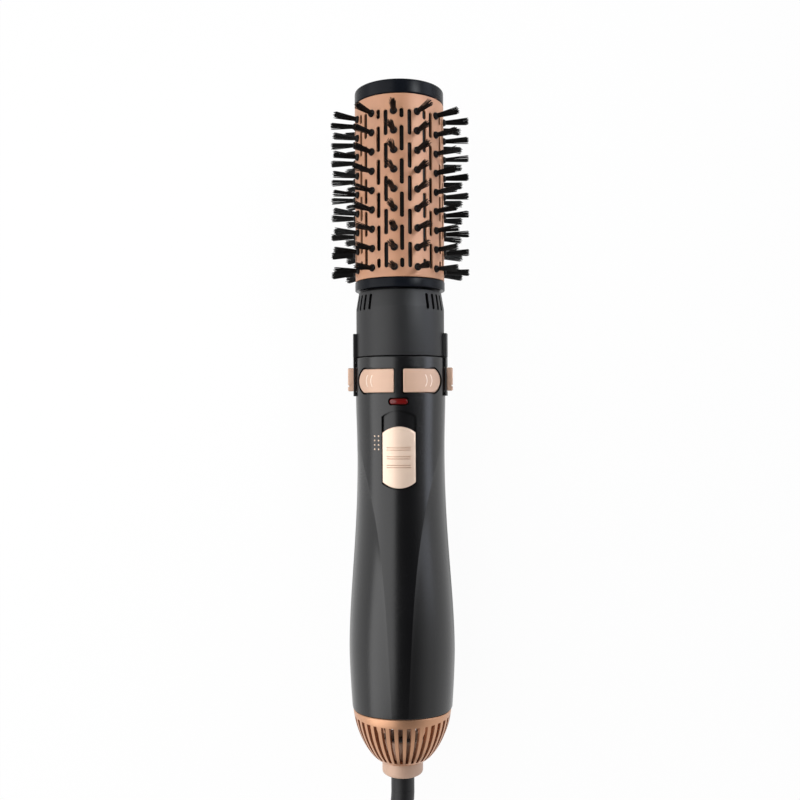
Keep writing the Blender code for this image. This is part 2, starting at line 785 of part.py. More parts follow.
def button_outline(side, grow):
    """Outline of a direction button, square beside the middle and round at its outer end."""
    z = SEAM_Z - BUTTON_DROP
    half = BUTTON_HEIGHT / 2 + grow
    near, far = BUTTON_GAP / 2 - grow, BUTTON_REACH + grow
    radius = BUTTON_END_RADIUS + grow
    reach = math.degrees(math.asin(half / radius))
    points = [(near, z - half)]
    points += arc(far - radius, z, radius, -reach, reach, 8)
    points.append((near, z + half))
    return [(side * x, y) for x, y in points]


def lens_outline(grow):
    """Rounded bar of the indicator."""
    z = SEAM_Z - LENS_DROP
    half, high = LENS_WIDTH / 2 + grow, LENS_HEIGHT / 2 + grow
    return rectangle(-half, half, z - high, z + high, high * 0.8, 3)


def pocket_outline():
    """Recess that the slider moves in."""
    high = SEAM_Z - POCKET_DROP
    return arched(POCKET_WIDTH / 2, high - POCKET_LENGTH, high, END_RISE)


def slider_low():
    """Height of the slider's lower end, at off."""
    return SEAM_Z - POCKET_DROP - POCKET_LENGTH + SLIDER_MARGIN


def pocket_floor():
    """Radius of the recess's curved floor."""
    return WAIST_RADIUS - POCKET_DEPTH


def front_windows():
    """Cuts through the front shell for the buttons and the lens."""
    outlines = [button_outline(-1, RUN), button_outline(1, RUN)]
    deep = SEAM_RADIUS - BUTTON_DEPTH - 6 * SHELL_WALL
    cuts = [prism("button_window", [o], deep, 2 * SEAM_RADIUS, "FRONT") for o in outlines]
    low = SEAM_RADIUS - 2 * SHELL_WALL
    return cuts + [prism("lens_window", [lens_outline(FIT)], low, 2 * SEAM_RADIUS, "FRONT")]


def pocket_tool():
    """The slider's recess: a slice of a ring outside its curved floor."""
    high = SEAM_Z - POCKET_DROP + FIT
    tool = turned_tool(
        "pocket", ring(pocket_floor(), 2 * SEAM_RADIUS, high - POCKET_LENGTH - 2 * FIT, high)
    )
    outline = prism("pocket_outline", [pocket_outline()], WAIST_RADIUS / 2, 3 * SEAM_RADIUS, "FRONT")
    combine(tool, cutter("pocket_outline", outline), "INTERSECT")
    return tool


def post_slot():
    """Slot in the recess's floor for the slider's post over its travel."""
    half = POST_WIDTH / 2 + RUN
    low = slider_low() + (SLIDER_LENGTH - POST_LENGTH) / 2 - RUN
    high = low + POST_LENGTH + SLIDER_TRAVEL + 2 * RUN
    depth = (BOARD_DEPTH, WAIST_RADIUS)
    return prism("post_slot", [rectangle(-half, half, low, high)], *depth, "FRONT")


def pad_prism(side, grow):
    """Straight way of a release button through the handle's side."""
    z = SEAM_Z - PAD_DROP
    wide, high = PAD_WIDTH / 2 + grow, PAD_HEIGHT / 2 + grow
    inside = SEAM_RADIUS - SHELL_WALL - 2 * PAD_FLANGE_THICKNESS
    outline = rectangle(-wide, wide, z - high, z + high)
    low, high = sorted((side * inside, side * (PAD_RADIUS + 2 * FIT)))
    return prism("pad_way", [outline], low, high, "X")


def direction_buttons():
    """Two curved buttons that press straight into the handle."""
    outer = SEAM_RADIUS + BUTTON_PROUD
    inner = SEAM_RADIUS + BUTTON_PROUD - BUTTON_DEPTH
    z = SEAM_Z - BUTTON_DROP
    for name, side in (("left", -1), ("right", 1)):
        slab = ring(inner, outer, z - BUTTON_HEIGHT, z + BUTTON_HEIGHT)
        obj = turned(f"direction_button_{name}", slab, "gold", steps=48)
        outline = button_outline(side, 0.0)
        mesh = prism("button_outline", [outline], SEAM_RADIUS * 0.37, 2 * SEAM_RADIUS, "FRONT")
        combine(obj, cutter(f"button_outline_{name}", mesh), "INTERSECT")


def indicator():
    """Red lens and the lamp behind it."""
    z = SEAM_Z - LENS_DROP
    outer = handle_radius(z) - LENS_SUNK
    slab = ring(outer - LENS_DEPTH, outer, z - LENS_HEIGHT, z + LENS_HEIGHT)
    lens = turned("indicator_lens", slab, "lens", steps=48)
    mesh = prism("lens_outline", [lens_outline(0.0)], SEAM_RADIUS / 2, 2 * SEAM_RADIUS, "FRONT")
    combine(lens, cutter("lens_outline", mesh), "INTERSECT")
    top = outer - LENS_DEPTH - FIT
    lamp = prism("lamp", [arc(0, z, LAMP_RADIUS, 0, 315, 7)], BOARD_DEPTH + FIT, top, "FRONT")
    add("indicator_lamp", lamp, "white", rest)


def mode_slider():
    """Slider with its grip grooves, and the post that works the switch."""
    low = slider_low()
    high = low + SLIDER_LENGTH
    inner = pocket_floor() + RUN
    outer = WAIST_RADIUS + SLIDER_PROUD
    slider = turned("mode_slider", ring(inner, outer, low - FIT, high + FIT), "gold", steps=48)
    outline = prism(
        "slider_outline",
        [arched(SLIDER_WIDTH / 2, low, high, END_RISE)],
        WAIST_RADIUS / 2,
        2 * WAIST_RADIUS,
        "FRONT",
    )
    combine(slider, cutter("slider_outline", outline), "INTERSECT")
    middle = (low + high) / 2
    floor = outer - GRIP_DEPTH
    grips = []
    for number in (-1, 0, 1):
        z = middle + number * GRIP_PITCH
        place = (-GRIP_LENGTH / 2, GRIP_LENGTH / 2, z - GRIP_WIDTH / 2, z + GRIP_WIDTH / 2)
        grips.append(prism("grip", [rectangle(*place)], WAIST_RADIUS / 2, 2 * WAIST_RADIUS, "FRONT"))
    grooves = turned_tool("grip_grooves", ring(floor, 2 * outer, low, high), steps=48)
    combine(grooves, cutter("grip_outlines", joined("grip_outlines", grips)), "INTERSECT")
    combine(slider, grooves, "DIFFERENCE")
    start = low + (SLIDER_LENGTH - POST_LENGTH) / 2
    half = POST_WIDTH / 2
    foot = pocket_floor() - SHELL_WALL
    post = prism(
        "post", [rectangle(-half, half, start, start + POST_LENGTH)], foot, inner + RUN, "FRONT"
    )
    combine(slider, cutter("post", post), "UNION")


def release_buttons():
    """Side buttons that let the head go, each in its bezel on the handle's rail."""
    z = SEAM_Z - PAD_DROP
    wall = SEAM_RADIUS - SHELL_WALL
    reach = PAD_WIDTH / 2 + PAD_FLANGE
    face = math.sqrt(wall * wall - reach * reach) - RUN
    for name, side in (("left", -1), ("right", 1)):
        outline = [sector(SEAM_RADIUS + FIT, RAIL_RADIUS, RAIL_HALF, side * math.pi / 2)]
        low = SEAM_Z - FIT - BEZEL_LENGTH
        bezel = prism("bezel", outline, low, low + BEZEL_LENGTH)
        bezel = add(f"release_bezel_{name}", bezel, "black", rest)
        combine(bezel, bpy.data.objects["pad_windows"], "DIFFERENCE")
        ends = sorted((side * (face - PAD_FLANGE_THICKNESS / 2), side * PAD_RADIUS))
        wide, high = PAD_WIDTH / 2, PAD_HEIGHT / 2
        pad = block("pad", (ends[0], -wide, z - high), (ends[1], wide, z + high))
        pad = add(f"release_button_{name}", pad, "gold", rest)
        edge = pad.modifiers.new("Edge", "BEVEL")
        edge.width = PAD_WIDTH / 9
        edge.segments = 1
        ends = sorted((side * (face - PAD_FLANGE_THICKNESS), side * face))
        wide, high = reach, PAD_HEIGHT / 2 + PAD_FLANGE
        flange = block("flange", (ends[0], -wide, z - high), (ends[1], wide, z + high))
        combine(pad, cutter(f"pad_flange_{name}", flange), "UNION")


def bowl_radius(z):
    """Outer radius of the grille's bowl, a funnel that fills out from the floor to the rim."""
    top = RIM_RADIUS - BOWL_INSET
    rise = (z - BOWL_FLOOR) / (RIM_Z - BOWL_FLOOR)
    swell = max(1.0 - (1.0 - rise) ** BOWL_CURVE, 0.0) ** BOWL_SWELL
    return BOWL_FLOOR_RADIUS + (top - BOWL_FLOOR_RADIUS) * swell


def grille():
    """Inlet grille: a slotted bowl whose rim lip stands inside the shells."""
    rim = RIM_RADIUS - BOWL_INSET
    lip = RIM_RADIUS - SHELL_WALL - FIT - FACET
    top = RIM_Z + RIM_ARCH + RIM_LIP
    span = RIM_Z - BOWL_FLOOR
    levels = [RIM_Z - span * share for share in (0.3, 0.6, 0.85, 1.0)]
    outside = [(bowl_radius(z), z) for z in levels]
    inside = [(bowl_radius(z) - BOWL_WALL * 1.15, z + BOWL_WALL * 0.6) for z in levels[1:3]]
    seat = COLLAR_RADIUS + FIT
    body = turned(
        "inlet_grille",
        [
            (lip - BOWL_WALL, top),
            (rim, top),
            (rim, RIM_Z),
            *outside,
            (seat, BOWL_FLOOR),
            (seat, BOWL_FLOOR + BOWL_WALL),
            *reversed(inside),
            (lip - BOWL_WALL, RIM_Z),
        ],
        "gold",
    )
    trim = evaluated(turned_tool("rim_trim", ring(lip, 2 * rim, RIM_Z - FIT, 2 * top)))
    for vert in trim.vertices:
        if vert.co.z < top:
            vert.co.z += rim_edge(math.atan2(vert.co.x, -vert.co.y)) - RIM_Z
    bpy.data.objects.remove(bpy.data.objects["rim_trim"])
    combine(body, cutter("rim_trim", trim), "DIFFERENCE")
    near, far = COLLAR_RADIUS + BOWL_WALL / 2, 1.15 * rim
    wide = GRILLE_SLOT_WIDTH / 2
    slim = wide * near / rim
    wedge = [(-slim, -near), (-wide * far / rim, -far), (wide * far / rim, -far), (slim, -near)]
    slot = prism("inlet_slot", [wedge], GRILLE_LOW, GRILLE_HIGH)
    slots = [around(slot, i * math.tau / GRILLE_SLOTS) for i in range(GRILLE_SLOTS)]
    combine(body, cutter("inlet_slots", joined("inlet_slots", slots)), "DIFFERENCE")


def collar():
    """Cord collar below the bowl, with the guide tube that the swivel turns in."""
    edge = COLLAR_EDGE
    turned(
        "cord_collar",
        [
            (GUIDE_BORE, GUIDE_HEIGHT),
            (COLLAR_RADIUS, GUIDE_HEIGHT),
            (COLLAR_RADIUS, edge * 2),
            (COLLAR_RADIUS - edge * 0.35, edge * 0.9),
            (COLLAR_RADIUS - edge, 0.0),
            (COLLAR_BORE, 0.0),
            (COLLAR_BORE, COLLAR_LIP),
            (GUIDE_BORE, COLLAR_LIP),
        ],
        "gold",
        steps=16,
    )


def nozzle_and_heater():
    """Air outlet that the head slides onto, and the heater inside it."""
    top = SEAM_Z + NOZZLE_REACH
    flange = SEAM_RADIUS - SHELL_WALL - FIT - FACET
    lip = HEATER_RADIUS + FIT + FACET
    turned(
        "outlet_nozzle",
        [
            (NOZZLE_RADIUS - NOZZLE_WALL, top),
            (NOZZLE_RADIUS, top),
            (NOZZLE_RADIUS, FLANGE_Z + NOZZLE_FLANGE),
            (flange, FLANGE_Z + NOZZLE_FLANGE),
            (flange, FLANGE_Z),
            (lip, FLANGE_Z),
            (lip, FLANGE_Z + NOZZLE_FLANGE / 2),
            (NOZZLE_RADIUS - NOZZLE_WALL, FLANGE_Z + NOZZLE_FLANGE),
        ],
        "black",
        steps=16,
    )
    bore = HEATER_RADIUS - HEATER_WALL
    turned("heater_sleeve", ring(bore, HEATER_RADIUS, HEATER_Z, HEATER_TOP_Z), "mica", steps=12)
    coil_radius = bore - FIT - WIRE_RADIUS
    reach = coil_radius - WIRE_RADIUS - FIT
    shaft = SHAFT_RADIUS + 2 * RUN
    low = HEATER_Z + FIT
    frame = turned("heater_frame", ring(shaft, FRAME_TUBE, low, HEATER_TOP_Z), "mica", steps=8)
    half = FRAME_THICKNESS / 2
    start = FRAME_TUBE - FRAME_THICKNESS
    fin = block("fin", (start, -half, low), (reach, half, HEATER_TOP_Z - DOG_SIDE))
    fins = [around(fin, math.radians(90 * i)) for i in range(4)]
    combine(frame, cutter("fins", joined("fins", fins)), "UNION")
    first, last = HEATER_Z + 2 * DOG_SIDE, SEAM_Z - 2 * DOG_SIDE
    count = WIRE_TURNS * 8
    points = []
    for i in range(count + 1):
        turn = math.tau * i / 8
        z = first + (last - first) * i / count
        points.append((coil_radius * math.cos(turn), coil_radius * math.sin(turn), z))
    tube("heating_winding", points, WIRE_RADIUS, "steel", 0, rest)
    report_gap("heating winding", points, 2 * WIRE_RADIUS)
    near = SOCKET_RADIUS + 4 * RUN
    half = THERMOSTAT_WIDTH / 2
    low = HEATER_TOP_Z - DOG_SIDE + FIT
    far = near + THERMOSTAT_THICKNESS
    mesh = block("thermostat", (near, -half, low), (far, half, low + THERMOSTAT_HEIGHT))
    add("thermostat", mesh, "steel", rest)


def drive():
    """Brush motor, gearbox, its mount in the shells, and the shaft with the driving dog."""
    motor = rod(BRUSH_MOTOR_RADIUS, BRUSH_MOTOR_Z, BRUSH_MOTOR_Z + BRUSH_MOTOR_LENGTH)
    turned("brush_motor", motor, "steel", steps=16, closed=False)
    box = rod(GEARBOX_RADIUS, GEARBOX_Z, GEARBOX_Z + GEARBOX_LENGTH)
    turned("gearbox", box, "white", steps=16, closed=False)
    mount_top = GEAR_MOUNT_Z + GEAR_MOUNT_THICKNESS
    arm = min(handle_radius(GEAR_MOUNT_Z), handle_radius(mount_top))
    arm -= SHELL_WALL + SCOOP_DEPTH + FIT
    half = GEAR_MOUNT_ARM / 2
    wide = math.asin(half / GEARBOX_RADIUS)
    cross = []
    for number in range(4):
        middle = math.radians(45 + 90 * number)
        tip = math.asin(half / arm)
        cross += [polar(GEARBOX_RADIUS, middle - wide), polar(arm, middle - tip)]
        cross += [polar(arm, middle + tip), polar(GEARBOX_RADIUS, middle + wide)]
    hole = arc(0, 0, (SHAFT_RADIUS + RUN) / math.cos(math.pi / 8), 0, 315, 7)
    mount = prism("gear_mount", [cross, hole], GEAR_MOUNT_Z, mount_top)
    add("gear_mount", mount, "black", rest)
    low = GEARBOX_Z + GEARBOX_LENGTH + FIT
    shaft = turned("drive_shaft", rod(SHAFT_RADIUS, low, DOG_Z + RUN), "steel", 12, closed=False)
    side = DOG_SIDE / 2
    dog = block("dog", (-side, -side, DOG_Z), (side, side, DOG_Z + DOG_LENGTH))
    combine(shaft, cutter("dog", dog), "UNION")


def fan():
    """Fan motor in its mount, with the impeller on its shaft."""
    top = FAN_MOTOR_TOP_Z
    bore = FAN_SHAFT + RUN
    motor = [
        (0.0, top),
        (FAN_MOTOR_RADIUS, top),
        (FAN_MOTOR_RADIUS, FAN_MOTOR_Z),
        (bore, FAN_MOTOR_Z),
        (bore, FAN_MOTOR_Z + FAN_HEIGHT),
        (0.0, FAN_MOTOR_Z + FAN_HEIGHT),
    ]
    turned("fan_motor", motor, "steel", steps=16, closed=False)
    low = FAN_MOTOR_Z + FAN_HEIGHT / 2
    high = low + MOUNT_HEIGHT
    reach = min(handle_radius(low), handle_radius(high)) - SHELL_WALL - SCOOP_DEPTH - FIT
    inner = (FAN_MOTOR_RADIUS + FIT) / math.cos(math.pi / 16)
    outer = inner + MOUNT_WALL
    wide = math.asin(MOUNT_ARM / 2 / outer)
    star = []
    for arm in range(3):
        middle = math.pi / 3 + arm * math.tau / 3
        tip = math.asin(MOUNT_ARM / 2 / reach)
        star += [polar(outer, middle - wide), polar(reach, middle - tip)]
        star += [polar(reach, middle + tip), polar(outer, middle + wide)]
        between = [middle + wide + (math.tau / 3 - 2 * wide) * i / 4 for i in range(1, 4)]
        star += [polar(outer, a) for a in between]
    hole = arc(0, 0, inner, 0, 337.5, 15)
    add("motor_mount", prism("motor_mount", [star, hole], low, high), "black", rest)
    hub = [
        (0.0, FAN_MOTOR_Z + FAN_HEIGHT - RUN),
        (FAN_SHAFT, FAN_MOTOR_Z + FAN_HEIGHT - RUN),
        (FAN_SHAFT, FAN_Z + FAN_HEIGHT),
        (FAN_HUB, FAN_Z + FAN_HEIGHT),
        (FAN_HUB, FAN_Z + FAN_HUB / 2),
        (FAN_HUB / 2, FAN_Z),
        (0.0, FAN_Z),
    ]
    impeller = turned("fan_impeller", hub, "black", steps=12, closed=False)
    half = BLADE_THICKNESS / 2
    blade = block("blade", (FAN_HUB * 0.8, -half, -BLADE_CHORD / 2), (FAN_RADIUS, half, BLADE_CHORD / 2))
    lean = Matrix.Rotation(math.radians(42.0), 4, "X")
    blade.transform(Matrix.Translation((0, 0, FAN_Z + FAN_HEIGHT * 0.58)) @ lean)
    blades = [around(blade, i * math.tau / FAN_BLADES) for i in range(FAN_BLADES)]
    combine(impeller, cutter("blades", joined("blades", blades)), "UNION")


def switches():
    """Board behind the controls, with the slide switch and the two push switches on it."""
    back = BOARD_DEPTH - BOARD_THICKNESS
    high = SEAM_Z - BOARD_DROP
    half = BOARD_WIDTH / 2
    board = rectangle(-half, half, high - BOARD_LENGTH, high)
    add("switch_board", prism("board", [board], back, BOARD_DEPTH, "FRONT"), "board", rest)
    half = SWITCH_WIDTH / 2
    middle = slider_low() + (SLIDER_LENGTH + SLIDER_TRAVEL) / 2
    outline = rectangle(-half, half, middle - SWITCH_LENGTH / 2, middle + SWITCH_LENGTH / 2)
    low = BOARD_DEPTH + FIT
    top = pocket_floor() - SHELL_WALL - FIT
    add("slide_switch", prism("switch", [outline], low, top, "FRONT"), "black", rest)
    half = PUSH_SIZE / 2
    z = SEAM_Z - BUTTON_DROP
    inside = SEAM_RADIUS + BUTTON_PROUD - BUTTON_DEPTH
    far = PUSH_PLACE + half
    top = math.sqrt(inside * inside - far * far) - BUTTON_TRAVEL - RUN
    for name, side in (("left", -1), ("right", 1)):
        x = side * PUSH_PLACE
        outline = rectangle(x - half, x + half, z - half, z + half)
        mesh = prism("push_switch", [outline], low, top, "FRONT")
        add(f"push_switch_{name}", mesh, "black", rest)


def tube(name, points, radius, finish, resolution, parent, radii=None):
    """A round tube along points, with closed ends. Radii, where given, taper it."""
    curve = bpy.data.curves.new(name, "CURVE")
    curve.dimensions = "3D"
    curve.bevel_depth = radius
    curve.bevel_resolution = resolution
    curve.use_fill_caps = True
    spline = curve.splines.new("POLY")
    spline.points.add(len(points) - 1)
    for number, (point, place) in enumerate(zip(spline.points, points)):
        point.co = (*place, 1.0)
        point.radius = radii[number] / radius if radii else 1.0
    return add(name, curve, finish, parent)


def report_gap(name, points, diameter):
    """Print the least gap of a wound tube to itself, measured between its points."""
    places = [Vector(p) for p in points]
    step = (places[1] - places[0]).length
    apart = int(2.5 * diameter / step) + 2
    gaps = [
        (places[i] - places[j]).length
        for i in range(len(places))
        for j in range(i + apart, len(places))
    ]
    print(f"{name}: least gap to itself {1000 * (min(gaps) - diameter):.2f} mm")


def flowing(points, first, last, count):
    """Points of a smooth curve through a route, with the directions at its two ends."""
    places = [Vector(p) for p in points]
    slopes = [(places[i + 1] - places[i - 1]) / 2 for i in range(1, len(places) - 1)]
    slopes.insert(0, Vector(first) * (places[1] - places[0]).length)
    slopes.append(Vector(last) * (places[-1] - places[-2]).length)
    made = [places[0]]
    for i in range(len(places) - 1):
        for k in range(1, count + 1):
            t = k / count
            a, b = places[i], places[i + 1]
            made.append(
                a * (1 + 2 * t) * (1 - t) ** 2
                + slopes[i] * t * (1 - t) ** 2
                + b * t * t * (3 - 2 * t)
                + slopes[i + 1] * t * t * (t - 1)
            )
    return made


def coil_points():
    """Centreline of the coil: layers that wind in and out by turns, one on the other."""
    cx, cy = COIL_CENTRE
    base = COIL_FLOOR + CORD_DIAMETER / 2
    turns = COIL_LAYERS * LAYER_TURNS
    points = []
    for i in range(round(turns * LOOP_POINTS) + 1):
        turn = i / LOOP_POINTS
        layer = min(int(turn / LAYER_TURNS), COIL_LAYERS - 1)
        along = turn - layer * LAYER_TURNS
        inward = along if layer % 2 == 0 else LAYER_TURNS - along
        climbs = [smooth((turn - k * LAYER_TURNS) / 0.5 + 0.5) for k in range(1, COIL_LAYERS)]
        radius = COIL_OUTER - COIL_STEP * inward
        angle = math.pi + math.tau * turn
        place = (cx + radius * math.cos(angle), cy + radius * math.sin(angle))
        points.append(Vector((*place, base + COIL_STEP * sum(climbs))))
    ahead = Vector((0.0, CORD_DIAMETER, 0.0))
    return [points[0] + ahead, *points, points[-1] + ahead]


def lead_parts(axis):
    """The lead: swivel sleeve, boot, free lead, coil with its tie, tail and plug."""
    profile = [
        (0.0, SLEEVE_TOP),
        (SLEEVE_RADIUS, SLEEVE_TOP),
        (SLEEVE_RADIUS, 2 * COLLAR_LIP + RUN),
        (GUIDE_BORE - RUN, 2 * COLLAR_LIP),
        (GUIDE_BORE - RUN, COLLAR_LIP + RUN),
        (SLEEVE_RADIUS, COLLAR_LIP + RUN),
        (SLEEVE_RADIUS, -SLEEVE_OUT),
        (0.0, -SLEEVE_OUT),
    ]
    turned("swivel_sleeve", profile, "rubber", steps=12, closed=False)
    away = -axis
    start = rest.matrix_world @ Vector((0.0, 0.0, -SLEEVE_OUT - FIT))
    coil = coil_points()
    down = Vector((0.0, -1.0, 0.0))
    end = coil[0] - down * FIT
    straight = start + away * BOOT_STRAIGHT
    route = [start, *flowing([straight, *BOOT_ROUTE, *LEAD_ROUTE, end], away, down, 4)]
    split = len(BOOT_ROUTE) * 4 + 1
    boot = route[: split + 1]
    radii = [
        SLEEVE_RADIUS + (BOOT_END_RADIUS - SLEEVE_RADIUS) * max(i - 2, 0) / (split - 2)
        for i in range(len(boot))
    ]
    tube("cord_boot", boot, SLEEVE_RADIUS, "rubber", 2, None, radii)
    onward = (route[split + 1] - route[split]).normalized()
    lead = [route[split] + onward * FIT, *route[split + 1 :: 2]]
    if (lead[-1] - route[-1]).length > FIT:
        lead.append(route[-1])
    tube("power_lead", lead, CORD_DIAMETER / 2, "rubber", 2, None)
    tube("cord_coil", coil, CORD_DIAMETER / 2, "rubber", 1, None)
    report_gap("cord coil", coil, CORD_DIAMETER)
    up = Vector((0.0, 1.0, 0.0))
    entry = Vector(PLUG_END)
    tail = tail_points(coil[-1] + up * FIT, entry - up * FIT)
    tube("cord_tail", tail, CORD_DIAMETER / 2, "rubber", 2, None)
    length = sum((b - a).length for line in (route, coil, tail) for a, b in zip(line, line[1:]))
    print(f"lead from the collar to the plug: {length + SLEEVE_OUT:.3f} m")
    tie()
    plug(entry)


def tail_points(start, end):
    """The tail slopes down from the coil to the plug and comes in level."""
    level = Vector((0.0, CORD_DIAMETER / 3, 0.0))
    high, low = start + level, end - level
    points = [start]
    for i in range(8):
        t = i / 7
        place = high.lerp(low, (1 - math.cos(math.pi * t)) / 2)
        place.y = high.y + (low.y - high.y) * t
        points.append(place)
    return [*points, end]


def tie():
    """Strap round the coil's turns, on the side away from the brush."""
    cx, cy = COIL_CENTRE
    half = CORD_DIAMETER / 2
    chord = COIL_INNER - half
    sag = chord - math.sqrt(chord * chord - TIE_WIDTH * TIE_WIDTH / 4)
    near = cy - COIL_INNER + half + sag + TIE_GAP
    far = cy - COIL_OUTER - half - TIE_GAP
    low = TIE_FLOOR + TIE_THICKNESS
    high = COIL_FLOOR + CORD_DIAMETER + (COIL_LAYERS - 1) * COIL_STEP + TIE_GAP
    t = TIE_THICKNESS
    outside = rectangle(far - t, near + t, low - t, high + t, 3 * t)
    inside = rectangle(far, near, low, high, 2 * t)
    x = cx - TIE_WIDTH / 2
    mesh = prism("cord_tie", [outside, inside], x, x + TIE_WIDTH, "X")
    add("cord_tie", mesh, "rubber", None)


def plug(entry):
    """Flat two-pin plug lying on the table, its pins away from the lead."""
    wide, high = PLUG_WIDTH / 2, PLUG_HEIGHT / 2
    body = block("plug_body", (-wide, 0.0, -high), (wide, PLUG_LENGTH, high))
    for vert in body.vertices:
        if vert.co.y < PLUG_LENGTH / 2:
            vert.co.x *= PLUG_NOSE / PLUG_WIDTH
            vert.co.z *= PLUG_NOSE / PLUG_HEIGHT
    body = add("plug_body", body, "rubber", None)
    body.location = entry
    edge = body.modifiers.new("Edge", "BEVEL")
    edge.width = PLUG_NOSE / 4
    edge.segments = 2
    for name, side in (("left", -1), ("right", 1)):
        work = bmesh.new()
        place = Matrix.Translation((0, PIN_LENGTH / 2, 0)) @ Matrix.Rotation(-math.pi / 2, 4, "X")
        bmesh.ops.create_cone(
            work,
            cap_ends=True,
            segments=12,
            radius1=PIN_RADIUS,
            radius2=PIN_RADIUS,
            depth=PIN_LENGTH,
            matrix=place,
        )
        mesh = bpy.data.meshes.new("plug_pin")
        work.to_mesh(mesh)
        work.free()
        pin = add(f"plug_pin_{name}", mesh, "steel", None)
        pin.location = entry + Vector((side * PIN_SPACING / 2, PLUG_LENGTH + FIT, 0.0))


for old in list(bpy.data.objects):
    bpy.data.objects.remove(old, do_unlink=True)
parts = new_collection("hot_air_brush")
cutters = new_collection("tool_shapes")
tilt, lift = lying()
rest = bpy.data.objects.new("rest", None)
parts.objects.link(rest)
tip_end = TIP_Z * math.cos(tilt) + (BARREL_RADIUS - CAP_EDGE) * math.sin(tilt)
cord_end = -SLEEVE_OUT * math.cos(tilt) - SLEEVE_RADIUS * math.sin(tilt)
rest.location = (0.0, -(tip_end + cord_end) / 2, lift)
rest.rotation_euler.x = tilt - math.pi / 2
bpy.context.view_layer.update()
tool_axis = rest.matrix_world.to_3x3() @ Vector((0.0, 0.0, 1.0))
front = rest.matrix_world.to_3x3() @ Vector((0.0, -1.0, 0.0))
print("tool axis", [round(c, 6) for c in tool_axis], "front", [round(c, 6) for c in front])
print("collar end", [round(c, 6) for c in rest.location])

barrel()
bristles()
head_ends()
neck()
shells()
direction_buttons()
indicator()
mode_slider()
release_buttons()
grille()
collar()
nozzle_and_heater()
drive()
fan()
switches()
lead_parts(tool_axis)
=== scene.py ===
# %% [markdown]
# # A rotating hot air brush, dressed on its CAD frame
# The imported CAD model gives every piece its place, and this script gives each one its looks. Most
# pieces are drawn upright first, as on a lathe, with the brush's axis on Z and its front towards
# -Y. One matrix then lays each finished mesh where the CAD model lies.

# %% Load the frame
import json
import math
from functools import partialmethod

import bmesh
import bpy
from mathutils import Matrix, Vector

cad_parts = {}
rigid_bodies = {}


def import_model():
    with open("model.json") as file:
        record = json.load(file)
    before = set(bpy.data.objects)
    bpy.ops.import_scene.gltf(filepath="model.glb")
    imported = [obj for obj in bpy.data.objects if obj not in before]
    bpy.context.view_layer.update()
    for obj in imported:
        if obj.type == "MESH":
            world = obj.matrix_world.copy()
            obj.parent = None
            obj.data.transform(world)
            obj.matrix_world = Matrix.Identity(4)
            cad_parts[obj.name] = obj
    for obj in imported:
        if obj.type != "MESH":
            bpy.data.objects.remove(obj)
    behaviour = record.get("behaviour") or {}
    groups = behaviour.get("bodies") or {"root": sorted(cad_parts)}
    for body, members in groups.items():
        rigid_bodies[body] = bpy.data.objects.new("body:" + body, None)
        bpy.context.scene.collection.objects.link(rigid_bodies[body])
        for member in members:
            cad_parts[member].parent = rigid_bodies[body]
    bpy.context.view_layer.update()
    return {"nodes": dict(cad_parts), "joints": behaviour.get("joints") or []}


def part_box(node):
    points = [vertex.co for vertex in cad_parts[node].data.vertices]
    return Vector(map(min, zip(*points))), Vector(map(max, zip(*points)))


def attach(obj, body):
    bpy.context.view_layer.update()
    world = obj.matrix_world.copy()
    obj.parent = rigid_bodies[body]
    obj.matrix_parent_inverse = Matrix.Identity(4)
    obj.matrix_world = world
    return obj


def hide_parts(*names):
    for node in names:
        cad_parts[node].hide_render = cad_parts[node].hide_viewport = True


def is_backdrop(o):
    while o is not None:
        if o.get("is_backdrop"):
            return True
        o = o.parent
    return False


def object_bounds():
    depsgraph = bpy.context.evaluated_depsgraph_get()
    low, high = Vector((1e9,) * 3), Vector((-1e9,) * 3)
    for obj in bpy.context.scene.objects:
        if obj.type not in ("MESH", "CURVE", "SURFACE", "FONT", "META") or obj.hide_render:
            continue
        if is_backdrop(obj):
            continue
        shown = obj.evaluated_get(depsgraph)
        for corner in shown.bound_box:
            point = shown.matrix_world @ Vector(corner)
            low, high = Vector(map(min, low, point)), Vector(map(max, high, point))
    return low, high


for old in list(bpy.data.objects):
    bpy.data.objects.remove(old, do_unlink=True)
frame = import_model()
nodes = frame["nodes"]
joints = {joint["name"]: joint for joint in frame["joints"]}
axis = joints["brush_spin"]["axis"]
tilt = math.atan2(axis[2], axis[1])
LAY = Matrix.Translation(joints["cord_swivel"]["pos_m"]) @ Matrix.Rotation(tilt - math.pi / 2, 4, "X")
SIDES = (("left", -1), ("right", 1))
scene = bpy.context.scene
scene.view_settings.view_transform = "Standard"
print("frame:", len(nodes), "nodes, tilt", round(math.degrees(tilt), 2), "degrees")

# %% [markdown]
# ## Camera
# The photograph was taken almost square to the brush from about 0.4 m, which is close enough for
# the handle's swell to look larger than the head. The camera's matrix is written from three axes.

# %% Camera
STATION = 0.1694  # height on the brush that the camera faces
DISTANCE = 0.396
SIDESTEP = 0.0003  # how far the camera stands to the left
CAMERA_TURN = math.radians(2.5)
CAMERA_ROLL = math.radians(0.33)


def placed(name, data):
    """A new object in the scene."""
    obj = bpy.data.objects.new(name, data)
    scene.collection.objects.link(obj)
    return obj


